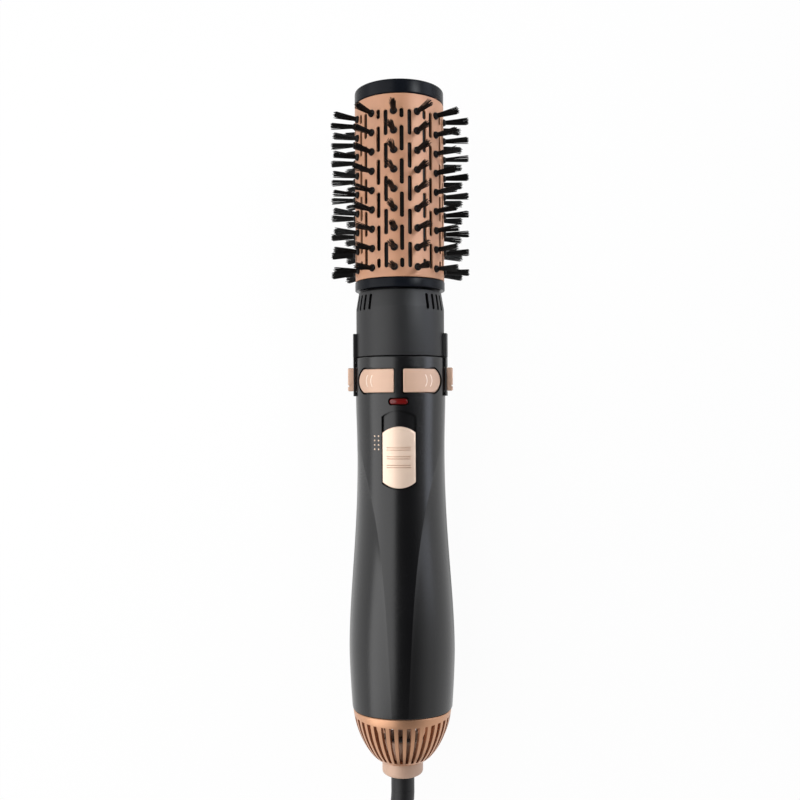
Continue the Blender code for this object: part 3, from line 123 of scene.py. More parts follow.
lens = bpy.data.cameras.new("camera")
lens.lens = 39.0
lens.sensor_width = 36.0
camera = placed("camera", lens)
scene.camera = camera
back = Vector((math.sin(CAMERA_TURN), -math.cos(CAMERA_TURN), 0.0))
right = Vector((math.cos(CAMERA_TURN), math.sin(CAMERA_TURN), 0.0))
eye = back * DISTANCE + Vector((0.0, 0.0, STATION)) - right * SIDESTEP
turn = Matrix((right, Vector((0.0, 0.0, 1.0)), back)).transposed().to_4x4()
camera.matrix_world = LAY @ Matrix.Translation(eye) @ turn @ Matrix.Rotation(-CAMERA_ROLL, 4, "Z")
print("camera at", [round(c, 3) for c in camera.matrix_world.translation])

# %% [markdown]
# ## Writing shaders and trees as sums
# Node trees are easier to read as expressions. A Wire wraps one output of a node, and sums with it
# add Math nodes. Nodes adds any other node from its type, its inputs and its settings.


# %% Wires and nodes
class Wire:
    """One output of a node, which can be used in sums."""

    def __init__(self, tree, socket):
        self.tree = tree
        self.socket = socket

    def output(self, name):
        return Wire(self.tree, self.socket.node.outputs[name])

    def math(self, operation, *others):
        values = dict(enumerate((self, *others)))
        return Nodes(self.tree).add("ShaderNodeMath", values, {"operation": operation})

    __add__ = __radd__ = partialmethod(math, "ADD")
    __sub__ = partialmethod(math, "SUBTRACT")
    __mul__ = partialmethod(math, "MULTIPLY")
    __truediv__ = partialmethod(math, "DIVIDE")
    __pow__ = partialmethod(math, "POWER")


class Nodes:
    """A node tree that nodes are added to."""

    def __init__(self, tree):
        self.tree = tree

    def feed(self, node, sockets):
        """Give the inputs of a node their values or wires."""
        for name, value in sockets.items():
            for one in value if isinstance(value, list) else [value]:
                if isinstance(one, Wire):
                    self.tree.links.new(one.socket, node.inputs[name])
                else:
                    node.inputs[name].default_value = one

    def add(self, kind, sockets=None, settings=None, out=0):
        """A new node's output, or the node itself where it has none."""
        node = self.tree.nodes.new(kind)
        for name, value in (settings or {}).items():
            setattr(node, name, value)
        self.feed(node, sockets or {})
        return Wire(self.tree, node.outputs[out]) if node.outputs else node


print("wires ready")

# %% [markdown]
# ## Finishes
# Each finish is a Principled shader fed by noise in object coordinates, at the scale that the real
# surface has. Fine noise is the grain, and broad noise gives the slight unevenness that keeps a
# large surface from looking like flat paint. Colours are linear values.

# %% Finish builder
BUMP_STRENGTH = 0.5


def noise(n, scale, detail):
    """Noise in object coordinates, scale in features per metre, laid along the brush."""
    place = n.add("ShaderNodeTexCoord", out="Object")
    lie = n.add("ShaderNodeMapping", {"Vector": place, "Rotation": (-tilt, 0.0, 0.0)})
    return n.add("ShaderNodeTexNoise", {"Vector": lie, "Scale": scale, "Detail": detail})


def mixed(n, share, first, second):
    """A colour between two colours; a Mix node's colour sockets go by number."""
    sockets = {0: share, 6: first, 7: second}
    return n.add("ShaderNodeMix", sockets, {"data_type": "RGBA"}, out=2)


def finish(name, dark, light, roughness, metallic, grain, depth, spread, broad=60.0, specular=0.5):
    """A material of two close colours, with grain in its roughness and its bump."""
    material = bpy.data.materials.new(name)
    material.use_nodes = True
    n = Nodes(material.node_tree)
    fine, wide = noise(n, grain, detail=2.0), noise(n, broad, detail=3.0)
    bump = {"Height": fine, "Strength": BUMP_STRENGTH, "Distance": depth}
    n.feed(material.node_tree.nodes["Principled BSDF"], {
        "Base Color": mixed(n, fine * 0.5 + wide * 0.5, (*dark, 1.0), (*light, 1.0)),
        "Roughness": roughness + (fine - 0.5) * spread + (wide - 0.5) * spread,
        "Normal": n.add("ShaderNodeBump", bump),
        "Metallic": metallic,
        "Specular IOR Level": specular,
    })
    return material


# %% Finishes of this brush
# A row gives the dark and the light colour, the roughness, the metallic share, the grain's scale, the
# depth of its bump and the spread of the roughness. Some rows add the broad noise's scale and the
# specular level.
FINISHES = {
    "barrel_gold": ((0.42, 0.20, 0.112), (0.55, 0.285, 0.167), 0.45, 0.12, 7000, 1.2e-5, 0.14, 40),
    "trim_gold": ((0.51, 0.32, 0.225), (0.63, 0.42, 0.31), 0.38, 0.15, 9000, 5e-6, 0.10),
    # The slider's finish is a lighter copy of the trim gold: painted light where the slider faces the key
    # lamp.
    "slider_painted_light_gold": ((0.83, 0.62, 0.48), (0.94, 0.74, 0.60), 0.40, 0.40, 9000, 5e-6, 0.10),
    "grille_gold": ((0.52, 0.265, 0.145), (0.68, 0.38, 0.235), 0.33, 0.70, 8000, 6e-6, 0.12),
    "collar_gold": ((0.50, 0.325, 0.235), (0.63, 0.43, 0.325), 0.45, 0.25, 8000, 6e-6, 0.12),
    "satin_black": ((0.0026, 0.0026, 0.003), (0.005, 0.005, 0.0058), 0.26, 0, 5200, 6e-6, 0.08, 50),
    "neck_black": ((0.0045, 0.0045, 0.0052), (0.0082, 0.0082, 0.0094), 0.48, 0, 4200, 2e-5, 0.12, 50, 0.42),
    "gloss_black": ((0.003, 0.0038, 0.0058), (0.0065, 0.008, 0.0115), 0.28, 0, 6000, 3e-6, 0.06, 60, 0.09),
    "bristle_nylon": ((0.0018, 0.0018, 0.002), (0.0065, 0.0062, 0.0062), 0.46, 0, 1400, 1e-5, 0.2, 60, 0.16),
    "cord_rubber": ((0.004, 0.004, 0.0045), (0.010, 0.010, 0.011), 0.44, 0, 5000, 2e-5, 0.12, 60, 0.4),
    "steel": ((0.42, 0.42, 0.43), (0.60, 0.60, 0.61), 0.30, 1, 3000, 5e-6, 0.12),
    "mica_sheet": ((0.34, 0.26, 0.17), (0.52, 0.43, 0.30), 0.55, 0, 1500, 3e-5, 0.2),
    "board_green": ((0.02, 0.09, 0.03), (0.04, 0.15, 0.06), 0.45, 0, 1200, 1e-5, 0.1),
    "inner_black": ((0.006, 0.006, 0.006), (0.014, 0.014, 0.014), 0.6, 0, 3000, 2e-5, 0.1),
    "lens_red": ((0.075, 0.0015, 0.0016), (0.17, 0.005, 0.004), 0.18, 0, 900, 2e-6, 0.04),
    "print_gold": ((0.55, 0.40, 0.30), (0.75, 0.58, 0.46), 0.5, 0.2, 6000, 3e-6, 0.1),
    # The arcs' finish is a pale, almost white gold: a painted highlight along the ridges of the raised arcs.
    "arc_painted_highlight": ((0.88, 0.74, 0.62), (0.96, 0.85, 0.75), 0.4, 0, 6000, 3e-6, 0.1),
}
looks = {name: finish(name, *row) for name, row in FINISHES.items()}
print("finishes:", len(looks))

# %% [markdown]
# ## Making, carving and keeping a piece
# A piece is made as a plain mesh, carved with Boolean modifiers and given rounded edges by a Bevel
# modifier. Modifiers are evaluated at once, so every finished piece is a plain mesh at the origin.


# %% Mesh helpers
def modified(mesh, kind, settings, inputs=None):
    """The mesh after one modifier, from its settings and the inputs of its tree."""
    obj = placed("work", mesh)
    modifier = obj.modifiers.new("Change", kind)
    for name, value in settings.items():
        setattr(modifier, name, value)
    for name, value in (inputs or {}).items():
        modifier[name] = value
    graph = bpy.context.evaluated_depsgraph_get()
    made = bpy.data.meshes.new_from_object(obj.evaluated_get(graph), depsgraph=graph)
    bpy.data.objects.remove(obj)
    return made


def carved(mesh, tool, operation="DIFFERENCE"):
    """The mesh with a tool shape cut from it, or what both have in common."""
    cutter = placed("tool", tool)
    made = modified(mesh, "BOOLEAN", {"operation": operation, "solver": "EXACT", "object": cutter})
    bpy.data.objects.remove(cutter)
    return made


def eased(mesh, width, segments=3):
    """The mesh with its sharp edges rounded."""
    limit = {"limit_method": "ANGLE", "angle_limit": math.radians(35.0), "use_clamp_overlap": True}
    return modified(mesh, "BEVEL", {"width": width, "segments": segments, **limit})


def settled(name, work):
    """The mesh of a bmesh, which is then freed."""
    mesh = bpy.data.meshes.new(name)
    work.to_mesh(mesh)
    work.free()
    return mesh


def from_faces(name, verts, faces, merge=False):
    """A mesh with its faces turned outwards, where wanted with points in one place merged."""
    work = bmesh.new()
    made = [work.verts.new(v) for v in verts]
    for face in faces:
        work.faces.new([made[i] for i in face])
    if merge:
        bmesh.ops.remove_doubles(work, verts=work.verts, dist=1e-7)
        bmesh.ops.dissolve_degenerate(work, edges=work.edges, dist=1e-8)
    bmesh.ops.recalc_face_normals(work, faces=work.faces)
    return settled(name, work)


def skinned(name, rings):
    """A closed mesh over equal rings of points, with a face on each end."""
    size = len(rings[0])
    last = (len(rings) - 1) * size
    faces = [list(range(size)), list(range(last, last + size))]
    for start in range(0, last, size):
        for i in range(size):
            j = (i + 1) % size
            faces.append((start + i, start + j, start + size + j, start + size + i))
    return from_faces(name, [point for points in rings for point in points], faces)


def together(name, meshes):
    """One mesh of several."""
    work = bmesh.new()
    for mesh in meshes:
        work.from_mesh(mesh)
    return settled(name, work)


def keep(name, mesh, look, body, slot, *stands_for, lay=True, sharp=32.0):
    """A finished piece: laid in place, shaded smooth, riding on a body and standing for CAD nodes."""
    if lay:
        mesh.transform(LAY)
    mesh.shade_smooth()
    mesh.set_sharp_from_angle(angle=math.radians(sharp))
    mesh.materials.clear()
    mesh.materials.append(looks[look])
    obj = placed(name, mesh)
    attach(obj, body)
    if stands_for:
        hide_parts(*stands_for)
    print(name, "-", len(mesh.polygons), "faces")
    return obj


# %% Outlines and the shapes that most pieces start from
LONGEST_ROUNDING = 0.45  # share of an edge that one rounded corner may take


def pairs(loop):
    """Each point of a loop with the next one."""
    return zip(loop, loop[1:] + loop[:1])


def polar(radius, angle):
    """A point at an angle from the front, positive towards +X."""
    return radius * math.sin(angle), -radius * math.cos(angle)


def rounded(profile, radius, closed=True, count=4):
    """A profile with each of its corners rounded by about a radius."""
    size = len(profile)
    made = []
    for i, here in enumerate(profile):
        if not closed and i in (0, size - 1):
            made.append(here)
            continue
        here = Vector(here)
        before = Vector(profile[i - 1]) - here
        after = Vector(profile[(i + 1) % size]) - here
        reach = min(radius, LONGEST_ROUNDING * before.length, LONGEST_ROUNDING * after.length)
        first, last = here + before.normalized() * reach, here + after.normalized() * reach
        for k in range(count + 1):
            t = k / count
            made.append(tuple(first * (1 - t) ** 2 + here * 2 * t * (1 - t) + last * t * t))
    return made


def turned(name, profile, steps=128, closed=True):
    """A profile of (radius, height) turned about the axis."""
    verts = []
    for j in range(steps):
        angle = math.tau * j / steps
        verts += [(*polar(r, angle), z) for r, z in profile]
    size = len(profile)
    faces = []
    for j in range(steps):
        a, b = j * size, (j + 1) % steps * size
        for i in range(size if closed else size - 1):
            k = (i + 1) % size
            faces.append((a + i, a + k, b + k, b + i))
    return from_faces(name, verts, faces, merge=True)


def lathe(name, profile, edge, steps, closed=True, count=4):
    """A profile with rounded corners, turned about the axis."""
    return turned(name, rounded(profile, edge, closed, count), steps, closed)


def prism(name, loop, low, high, way="FRONT"):
    """An outline pushed through: FRONT goes from low to high along -Y, X along X, Z along Z."""
    point = {
        "FRONT": lambda a, b, c: (a, -c, b),
        "X": lambda a, b, c: (c, a, b),
        "Z": lambda a, b, c: (a, b, c),
    }[way]
    return skinned(name, [[point(*p, depth) for p in loop] for depth in (low, high)])


def arc(cx, cy, radius, start, end, count):
    """Points of an arc, angles in degrees."""
    turns = [math.radians(start + (end - start) * i / count) for i in range(count + 1)]
    return [(cx + radius * math.cos(t), cy + radius * math.sin(t)) for t in turns]


def rectangle(x0, x1, y0, y1, radius, count=6):
    """A rectangle with round corners."""
    corners = ((x1, y0, -1, 1, -90), (x1, y1, -1, -1, 0), (x0, y1, 1, -1, 90), (x0, y0, 1, 1, 180))
    points = []
    for x, y, across, up, start in corners:
        points += arc(x + across * radius, y + up * radius, radius, start, start + 90, count)
    return points


def arched(half, low, high, rise, count=14):
    """A panel with straight sides and shallow arches at its two ends."""
    radius = (half * half + rise * rise) / (2 * rise)
    spread = math.degrees(math.asin(half / radius))
    top = arc(0, high - radius, radius, 90 - spread, 90 + spread, count)
    return top + arc(0, low + radius, radius, 270 - spread, 270 + spread, count)


def sector(inner, outer, half, middle, count=10):
    """Outline of a slice of a ring, seen along the axis."""
    turns = [middle - half + 2 * half * i / count for i in range(count + 1)]
    return [polar(outer, t) for t in turns] + [polar(inner, t) for t in reversed(turns)]


def ring(inner, outer, low, high):
    """Profile of a plain tube."""
    return [(inner, high), (outer, high), (outer, low), (inner, low)]


print("helpers ready")

# %% [markdown]
# ## Mains lead
# The photograph shows only the swivel tube and the start of the bend relief. The lead is 1.8 m long
# and 6.4 mm thick, as on most such brushes, and lies below the picture in a coil of four layers,
# tied on its far side. Its route is the CAD model's own.

# %% Route of the lead
CORD_DIAMETER = 0.0064
SLEEVE_OUT = 0.0078  # the lead starts this far outside the collar
LEAD_ROUTE = (
    (-0.0048, -0.1812, 0.0196),
    (-0.0108, -0.1988, 0.0172),
    (-0.0192, -0.2228, 0.0122),
    (-0.0262, -0.2478, 0.0072),
    (-0.0302, -0.2728, 0.0050),
)
ROUTE_STEPS, COIL_STEPS, TAIL_STEPS = 8, 48, 24  # for each span, each turn and the whole tail
STRAIGHT, JOIN_GAP = 0.0015, 0.0003
COIL_CENTRE = (0.0098, -0.3008)
COIL_INNER = 0.0273
COIL_STEP = 0.0071
COIL_LAYERS = 4
LAYER_TURNS = 1.875
CLIMB_TURNS = 0.5  # the lead climbs to the next layer over this much of a turn
COIL_FLOOR = 0.0016
PLUG_END = Vector((0.0380, -0.2361, 0.0082))


def smooth(t):
    """Ease from 0 to 1 with level ends."""
    t = min(max(t, 0.0), 1.0)
    return t * t * (3.0 - 2.0 * t)


def flowing(points, first, last, count):
    """Points of a smooth curve through a route, with the directions at its two ends."""
    places = [Vector(p) for p in points]
    slopes = [(places[i + 1] - places[i - 1]) / 2 for i in range(1, len(places) - 1)]
    slopes.insert(0, Vector(first) * (places[1] - places[0]).length)
    slopes.append(Vector(last) * (places[-1] - places[-2]).length)
    made = [places[0]]
    for i in range(len(places) - 1):
        for k in range(1, count + 1):
            t = k / count
            made.append(
                places[i] * (1 + 2 * t) * (1 - t) ** 2
                + slopes[i] * t * (1 - t) ** 2
                + places[i + 1] * t * t * (3 - 2 * t)
                + slopes[i + 1] * t * t * (t - 1)
            )
    return made


def coil_points(per_turn):
    """Centreline of the coil: layers that wind in and out by turns, one on the other."""
    base = COIL_FLOOR + CORD_DIAMETER / 2
    outer = COIL_INNER + COIL_STEP * LAYER_TURNS
    points = []
    for i in range(round(COIL_LAYERS * LAYER_TURNS * per_turn) + 1):
        wound = i / per_turn
        layer = min(int(wound / LAYER_TURNS), COIL_LAYERS - 1)
        along = wound - layer * LAYER_TURNS
        inward = along if layer % 2 == 0 else LAYER_TURNS - along
        climbs = [smooth((wound - k * LAYER_TURNS) / CLIMB_TURNS + 0.5) for k in range(1, COIL_LAYERS)]
        radius = outer - COIL_STEP * inward
        angle = math.pi + math.tau * wound
        x = COIL_CENTRE[0] + radius * math.cos(angle)
        y = COIL_CENTRE[1] + radius * math.sin(angle)
        points.append(Vector((x, y, base + COIL_STEP * sum(climbs))))
    return points


away = LAY.to_3x3() @ Vector((0.0, 0.0, -1.0))
start = LAY @ Vector((0.0, 0.0, -SLEEVE_OUT))
coil = coil_points(COIL_STEPS)
up = Vector((0.0, 1.0, 0.0))
into_coil = coil[0] + up * (CORD_DIAMETER + JOIN_GAP)
spots = [start + away * STRAIGHT, *LEAD_ROUTE, into_coil]
route = [start, *flowing(spots, away, -up, ROUTE_STEPS)]
off_coil = coil[-1] + up * (CORD_DIAMETER * 4 / 3 + JOIN_GAP)
entry = PLUG_END - up * (CORD_DIAMETER / 3 + JOIN_GAP)
tail = []
for i in range(TAIL_STEPS + 1):
    t = i / TAIL_STEPS
    spot = off_coil.lerp(entry, (1 - math.cos(math.pi * t)) / 2)
    spot.y = off_coil.y + (entry.y - off_coil.y) * t
    tail.append(spot)
lead_line = [*route, *coil, *tail, PLUG_END - up * JOIN_GAP]
lead_length = sum((b - a).length for a, b in zip(lead_line, lead_line[1:]))
print("lead:", round(lead_length, 3), "m,", len(lead_line), "points")

# %% Lead
curve = bpy.data.curves.new("mains_lead", "CURVE")
curve.dimensions = "3D"
curve.bevel_depth = CORD_DIAMETER / 2
curve.bevel_resolution = 4
curve.use_fill_caps = True
spline = curve.splines.new("POLY")
spline.points.add(len(lead_line) - 1)
for point, spot in zip(spline.points, lead_line):
    point.co = (*spot, 1.0)
spline.use_smooth = True
curve.materials.append(looks["cord_rubber"])
mains_lead = placed("mains_lead", curve)
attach(mains_lead, "handle")
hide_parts("power_lead", "cord_coil", "cord_tail")
print("mains_lead -", len(spline.points), "points")

# %% Bend relief, tie and plug
RELIEF_OUT, RELIEF_RADIUS, RELIEF_TAPER, RELIEF_LIP = 0.00755, 0.0053, 0.0013, 0.0005
TIE_EDGE, PLUG_EDGE = 0.0002, 0.0004
PIN_END = ((0.0012, 1.0), (0.0004, 0.85), (0.0, 0.5))  # distance from the end, share of the radius


def hose(name, line, radii, sides=32):
    """A tapered tube along a line, closed at its ends."""
    turns = [math.tau * k / sides for k in range(sides)]
    rings = []
    across = Vector((1.0, 0.0, 0.0))
    for i, here in enumerate(line):
        ahead = (line[min(i + 1, len(line) - 1)] - line[max(i - 1, 0)]).normalized()
        across = (across - ahead * across.dot(ahead)).normalized()
        other = ahead.cross(across)
        rings.append([here + (across * math.cos(t) + other * math.sin(t)) * radii[i] for t in turns])
    return skinned(name, rings)


def copied(node, width):
    """A CAD node's mesh, merged and with its edges rounded."""
    work = bmesh.new()
    work.from_mesh(nodes[node].data)
    bmesh.ops.remove_doubles(work, verts=work.verts, dist=1e-6)
    bmesh.ops.dissolve_limit(work, angle_limit=math.radians(1.0), verts=work.verts, edges=work.edges)
    return eased(settled(node, work), width, segments=2)


def keep_lead(name, mesh, look, node):
    """A piece of the lead, which is made where it lies."""
    return keep(name, mesh, look, "handle", look, node, lay=False)


relief_line = [LAY @ Vector((0.0, 0.0, -RELIEF_OUT)), *route[1 : 2 * ROUTE_STEPS + 2]]
last = len(relief_line) - 1
relief_radii = [RELIEF_RADIUS - RELIEF_TAPER * max(i - 2, 0) / (last - 2) for i in range(last + 1)]
relief_radii[-1] -= RELIEF_LIP
keep_lead("bend_relief", hose("bend_relief", relief_line, relief_radii), "cord_rubber", "cord_boot")
tie = keep_lead("lead_tie", copied("cord_tie", TIE_EDGE), "cord_rubber", "cord_tie")
plug = keep_lead("plug_shell", copied("plug_body", PLUG_EDGE), "cord_rubber", "plug_body")
for side, _ in SIDES:
    node = "plug_pin_" + side
    low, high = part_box(node)
    middle, r = (low + high) / 2, (high.x - low.x) / 2
    ends = [low.y] + [high.y - inside for inside, share in PIN_END]
    line = [Vector((middle.x, y, middle.z)) for y in ends]
    mesh = hose(node, line, [r] + [r * share for inside, share in PIN_END], sides=24)
    keep_lead("plug_prong_" + side, mesh, "steel", node)

# %% [markdown]
# ## Openings that repeat round the axis
# The barrel's slots, the neck's vents and the grille's slots are the same cut made many times round
# one axis. One Geometry Nodes tree does this: it puts copies of a tool shape at equal angles and
# takes them away with a Mesh Boolean.


# %% Helpers for trees
def new_tree(name, values):
    """A tree with a named input for each value or kind of value. Returns it, its nodes and wires."""
    tree = bpy.data.node_groups.new(name, "GeometryNodeTree")
    tree.interface.new_socket("Geometry", in_out="INPUT", socket_type="NodeSocketGeometry")
    for label, value in values.items():
        kind = value if isinstance(value, str) else type(value).__name__.title()
        tree.interface.new_socket(label, in_out="INPUT", socket_type="NodeSocket" + kind)
    tree.interface.new_socket("Geometry", in_out="OUTPUT", socket_type="NodeSocketGeometry")
    n = Nodes(tree)
    entry = n.add("NodeGroupInput")
    return tree, n, {label: entry.output(label) for label in ("Geometry", *values)}


def close_tree(n, geometry, material):
    """End a tree: instances made real, and the finish set."""
    real = n.add("GeometryNodeRealizeInstances", {"Geometry": geometry})
    painted = n.add("GeometryNodeSetMaterial", {"Geometry": real, "Material": material})
    n.add("NodeGroupOutput", {"Geometry": painted})


def shape_of(n, tool):
    """The geometry of an object input."""
    return n.add("GeometryNodeObjectInfo", {"Object": tool}, out="Geometry")


def xyz(n, **parts):
    """A vector of single values; those that aren't given are 0."""
    return n.add("ShaderNodeCombineXYZ", parts)


def row_of_points(n, count, start=(0.0, 0.0, 0.0), step=(0.0, 0.0, 0.0)):
    """Points in a row, which without a step are all in one place."""
    return n.add("GeometryNodeMeshLine", {"Count": count, "Start Location": start, "Offset": step})


def on_points(n, points, geometry, **turns):
    """Copies of a geometry on points."""
    return n.add("GeometryNodeInstanceOnPoints", {"Points": points, "Instance": geometry, **turns})


def round_axis(n, geometry, count, first, step):
    """Copies of a geometry, turned about the axis in equal steps."""
    index = n.add("GeometryNodeInputIndex")
    return on_points(n, row_of_points(n, count), geometry, Rotation=xyz(n, Z=index * step + first))


def grown(mesh, tree, values):
    """The mesh that a tree makes, from values for its named inputs."""
    items = [item for item in tree.interface.items_tree if item.in_out == "INPUT" and item.name in values]
    inputs = {item.identifier: values[item.name] for item in items}
    return modified(mesh, "NODES", {"node_group": tree}, inputs)


# %% Tree of repeated cuts
cuts_tree, n, wires = new_tree("cuts_round_axis", {
    "Tool": "Object", "Count": "Int", "First Angle": "Float", "Step": "Float", "Finish": "Material",
})
tools = round_axis(n, shape_of(n, wires["Tool"]), wires["Count"], wires["First Angle"], wires["Step"])
tools = n.add("GeometryNodeRealizeInstances", {"Geometry": tools})
cut = n.add("GeometryNodeMeshBoolean", {"Mesh 1": wires["Geometry"], "Mesh 2": tools},
            {"operation": "DIFFERENCE", "solver": "EXACT"})
close_tree(n, cut, wires["Finish"])


def cut_round(mesh, tool, count, first, step, look):
    """The mesh with a tool cut out of it at equal angles."""
    holder = placed("tool", tool)
    values = {"Tool": holder, "Count": count, "First Angle": first, "Step": step, "Finish": looks[look]}
    made = grown(mesh, cuts_tree, values)
    bpy.data.objects.remove(holder)
    return made


print("tree:", cuts_tree.name, len(cuts_tree.nodes), "nodes")

# %% [markdown]
# ## Slotted barrel
# Between two bristle columns the barrel has two columns of air slots with round ends, one of five
# long slots and one of four long and two short ones. Each tuft comes out of a round hole.

# %% Barrel
COLUMNS = 12
COLUMN_TURN = math.radians(-4.5)
COLUMN_STEP = math.tau / COLUMNS
BARREL_Z, BARREL_TOP_Z = 0.2231, 0.3027
BARREL_RADIUS, BARREL_BORE = 0.0202, 0.0194
THROUGH_BARREL = (0.018, 0.022)  # a cut runs between these radii
SLOT_WIDTH, SLOT_LENGTH, SLOT_BRIDGE, SHORT_SLOT = 0.00185, 0.0112, 0.0032, 0.0042
SLOT_START, SLOT_PITCH = BARREL_Z + 0.0039, SLOT_LENGTH + SLOT_BRIDGE
SLOT_ROUND = 0.98  # share of a slot's half width that is its corners' radius
LOW_TUFT_Z, TUFT_PITCH, TUFTS = BARREL_Z + 0.0043, 0.00846, 9
HOLE_RADIUS, HOLE_SIDES = 0.0017, 24


def slot_tool(slots):
    """A column of slots with round ends, each a (middle, length), as one tool."""
    half = SLOT_WIDTH / 2
    loops = [rectangle(-half, half, z - long / 2, z + long / 2, half * SLOT_ROUND) for z, long in slots]
    return together("slots", [prism("slot", loop, *THROUGH_BARREL) for loop in loops])


long_column = [(SLOT_START + SLOT_LENGTH / 2 + i * SLOT_PITCH, SLOT_LENGTH) for i in range(5)]
lowest = SLOT_START + SHORT_SLOT + SLOT_BRIDGE + SLOT_LENGTH / 2
mixed_column = [(SLOT_START + SHORT_SLOT / 2, SHORT_SLOT)]
mixed_column += [(lowest + i * SLOT_PITCH, SLOT_LENGTH) for i in range(4)]
mixed_column.append((lowest + 3.5 * SLOT_PITCH + (SLOT_BRIDGE + SHORT_SLOT) / 2, SHORT_SLOT))
tuft_rows = [LOW_TUFT_Z + i * TUFT_PITCH for i in range(TUFTS)]
circles = [arc(0, z, HOLE_RADIUS, 0, 360, HOLE_SIDES)[:-1] for z in tuft_rows]
holes = together("holes", [prism("hole", circle, *THROUGH_BARREL) for circle in circles])

tube_profile = ring(BARREL_BORE, BARREL_RADIUS, BARREL_Z, BARREL_TOP_Z)
tube = lathe("barrel", tube_profile, edge=0.0003, steps=216)
for third, tool in enumerate((holes, slot_tool(mixed_column), slot_tool(long_column))):
    angle = COLUMN_TURN + third * COLUMN_STEP / 3
    tube = cut_round(tube, tool, COLUMNS, angle, COLUMN_STEP, "barrel_gold")
keep("slotted_barrel", tube, "barrel_gold", "barrel", "barrel_gold", "brush_barrel")

# %% [markdown]
# ## Bristles
# A tuft is a bundle of thirty-six strands on a round bead. In the tree, a strand is put on points
# that fill a disc evenly, leaning outwards, which makes a tuft; nine tufts go along a strip, and
# twelve strips go round the axis. The strips are real, but they are drawn so wide that they almost
# close the bore behind the slots: a dark lining that is painted shade for the barrel's dark inside.
# A fixed seed varies length and lean.

# %% Strand, bead and the values of a tuft
STRAND_SIDES = 5
STRAND_RINGS = (  # share of the length, radius, bend
    (0.0, 0.00014, 0.0),
    (0.55, 0.00013, 0.00006),
    (0.96, 0.00012, 0.00022),
    (1.0, 0.00007, 0.00023),
)
SEAT, TUFT_TIP_RADIUS = 0.0186, 0.0318
BEAD_PROFILE = [(0.0, 0.0030), (0.0008, 0.0029), (0.0014, 0.0024), (0.00163, 0.0017), (0.00163, 0.0),
                (0.0, 0.0)]


def strand_mesh(length):
    """One strand with a soft bend and a blunt tip."""
    turns = [math.tau * k / STRAND_SIDES for k in range(STRAND_SIDES)]
    rings = []
    for share, r, bend in STRAND_RINGS:
        rings.append([(r * math.cos(t) + bend, r * math.sin(t), share * length) for t in turns])
    return skinned("strand", rings)


strand = placed("strand", strand_mesh(TUFT_TIP_RADIUS - SEAT))
bead = placed("bead", turned("bead", BEAD_PROFILE, steps=14, closed=False))
bead.data.transform(Matrix.Rotation(math.pi / 2, 4, "X"))
tuft_values = {
    "Strand": strand, "Bead": bead, "Strands": 36, "Root Radius": 0.00068, "Spread": 0.070,
    "Rows": TUFTS, "Row Pitch": TUFT_PITCH, "First Row": LOW_TUFT_Z, "Seat": SEAT, "Columns": COLUMNS,
    # Strip Width nearly fills the space between columns, so the strips form a dark lining behind the slots:
    # painted shade.
    "First Angle": COLUMN_TURN, "Strip Width": 0.0092, "Strip Length": 0.0758, "Strip Seat": 0.0181,
    "Seed": 11, "Finish": looks["bristle_nylon"],
}
tufts_tree, n, wires = new_tree("tufts_on_strips", tuft_values)
print("tuft:", len(strand.data.polygons), "faces in a strand,", len(bead.data.polygons), "in a bead")

# %% Bristle tree
GOLDEN_ANGLE = 2.39996
STRAND_LEAN, SHORTEST_STRAND, TUFT_LEAN, FULL_TURN = 0.022, 0.935, 0.05, 6.28
STRIP_DEPTH = 0.001


def chance(low, high, salt):
    """A random value for each point, from the tree's seed; the node's sockets go by number."""
    sockets = {2: low, 3: high, 8: wires["Seed"] + salt}
    return n.add("FunctionNodeRandomValue", sockets, {"data_type": "FLOAT"}, out=1)


index = n.add("GeometryNodeInputIndex")
out = ((index + 0.5) / wires["Strands"]) ** 0.5
swirl = index * GOLDEN_ANGLE
x, y = out * swirl.math("COSINE"), out * swirl.math("SINE")
root = xyz(n, X=x * wires["Root Radius"], Y=y * wires["Root Radius"])
lean_x = x * wires["Spread"] + chance(-STRAND_LEAN, STRAND_LEAN, 1)
lean_y = y * wires["Spread"] + chance(-STRAND_LEAN, STRAND_LEAN, 2)
lean = xyz(n, X=lean_x, Y=lean_y, Z=1.0)
aim = n.add("FunctionNodeAlignRotationToVector", {"Vector": lean}, {"axis": "Z"})
tall = xyz(n, X=1.0, Y=1.0, Z=chance(SHORTEST_STRAND, 1.0, 3))
points = row_of_points(n, wires["Strands"])
disc = n.add("GeometryNodeSetPosition", {"Geometry": points, "Position": root})
tuft = on_points(n, disc, shape_of(n, wires["Strand"]), Rotation=aim, Scale=tall)
foot = xyz(n, Y=wires["Seat"] * -1.0, Z=wires["First Row"])
row = row_of_points(n, wires["Rows"], foot, xyz(n, Z=wires["Row Pitch"]))
sway_x = math.pi / 2 + chance(-TUFT_LEAN, TUFT_LEAN, 4)
sway = xyz(n, X=sway_x, Y=chance(0.0, FULL_TURN, 5), Z=chance(-TUFT_LEAN, TUFT_LEAN, 6))
rows = on_points(n, row, tuft, Rotation=sway)
beads = on_points(n, row, shape_of(n, wires["Bead"]))
size = xyz(n, X=wires["Strip Width"], Y=STRIP_DEPTH, Z=wires["Strip Length"])
strip = n.add("GeometryNodeMeshCube", {"Size": size})
span = (wires["Rows"] - 1.0) * wires["Row Pitch"]
seat = xyz(n, Y=wires["Strip Seat"] * -1.0, Z=wires["First Row"] + span * 0.5)
strip = n.add("GeometryNodeTransform", {"Geometry": strip, "Translation": seat})
column = n.add("GeometryNodeJoinGeometry", {"Geometry": [rows, beads, strip]})
crown = round_axis(n, column, wires["Columns"], wires["First Angle"], COLUMN_STEP)
close_tree(n, crown, wires["Finish"])
print("tree:", tufts_tree.name, len(tufts_tree.nodes), "nodes")

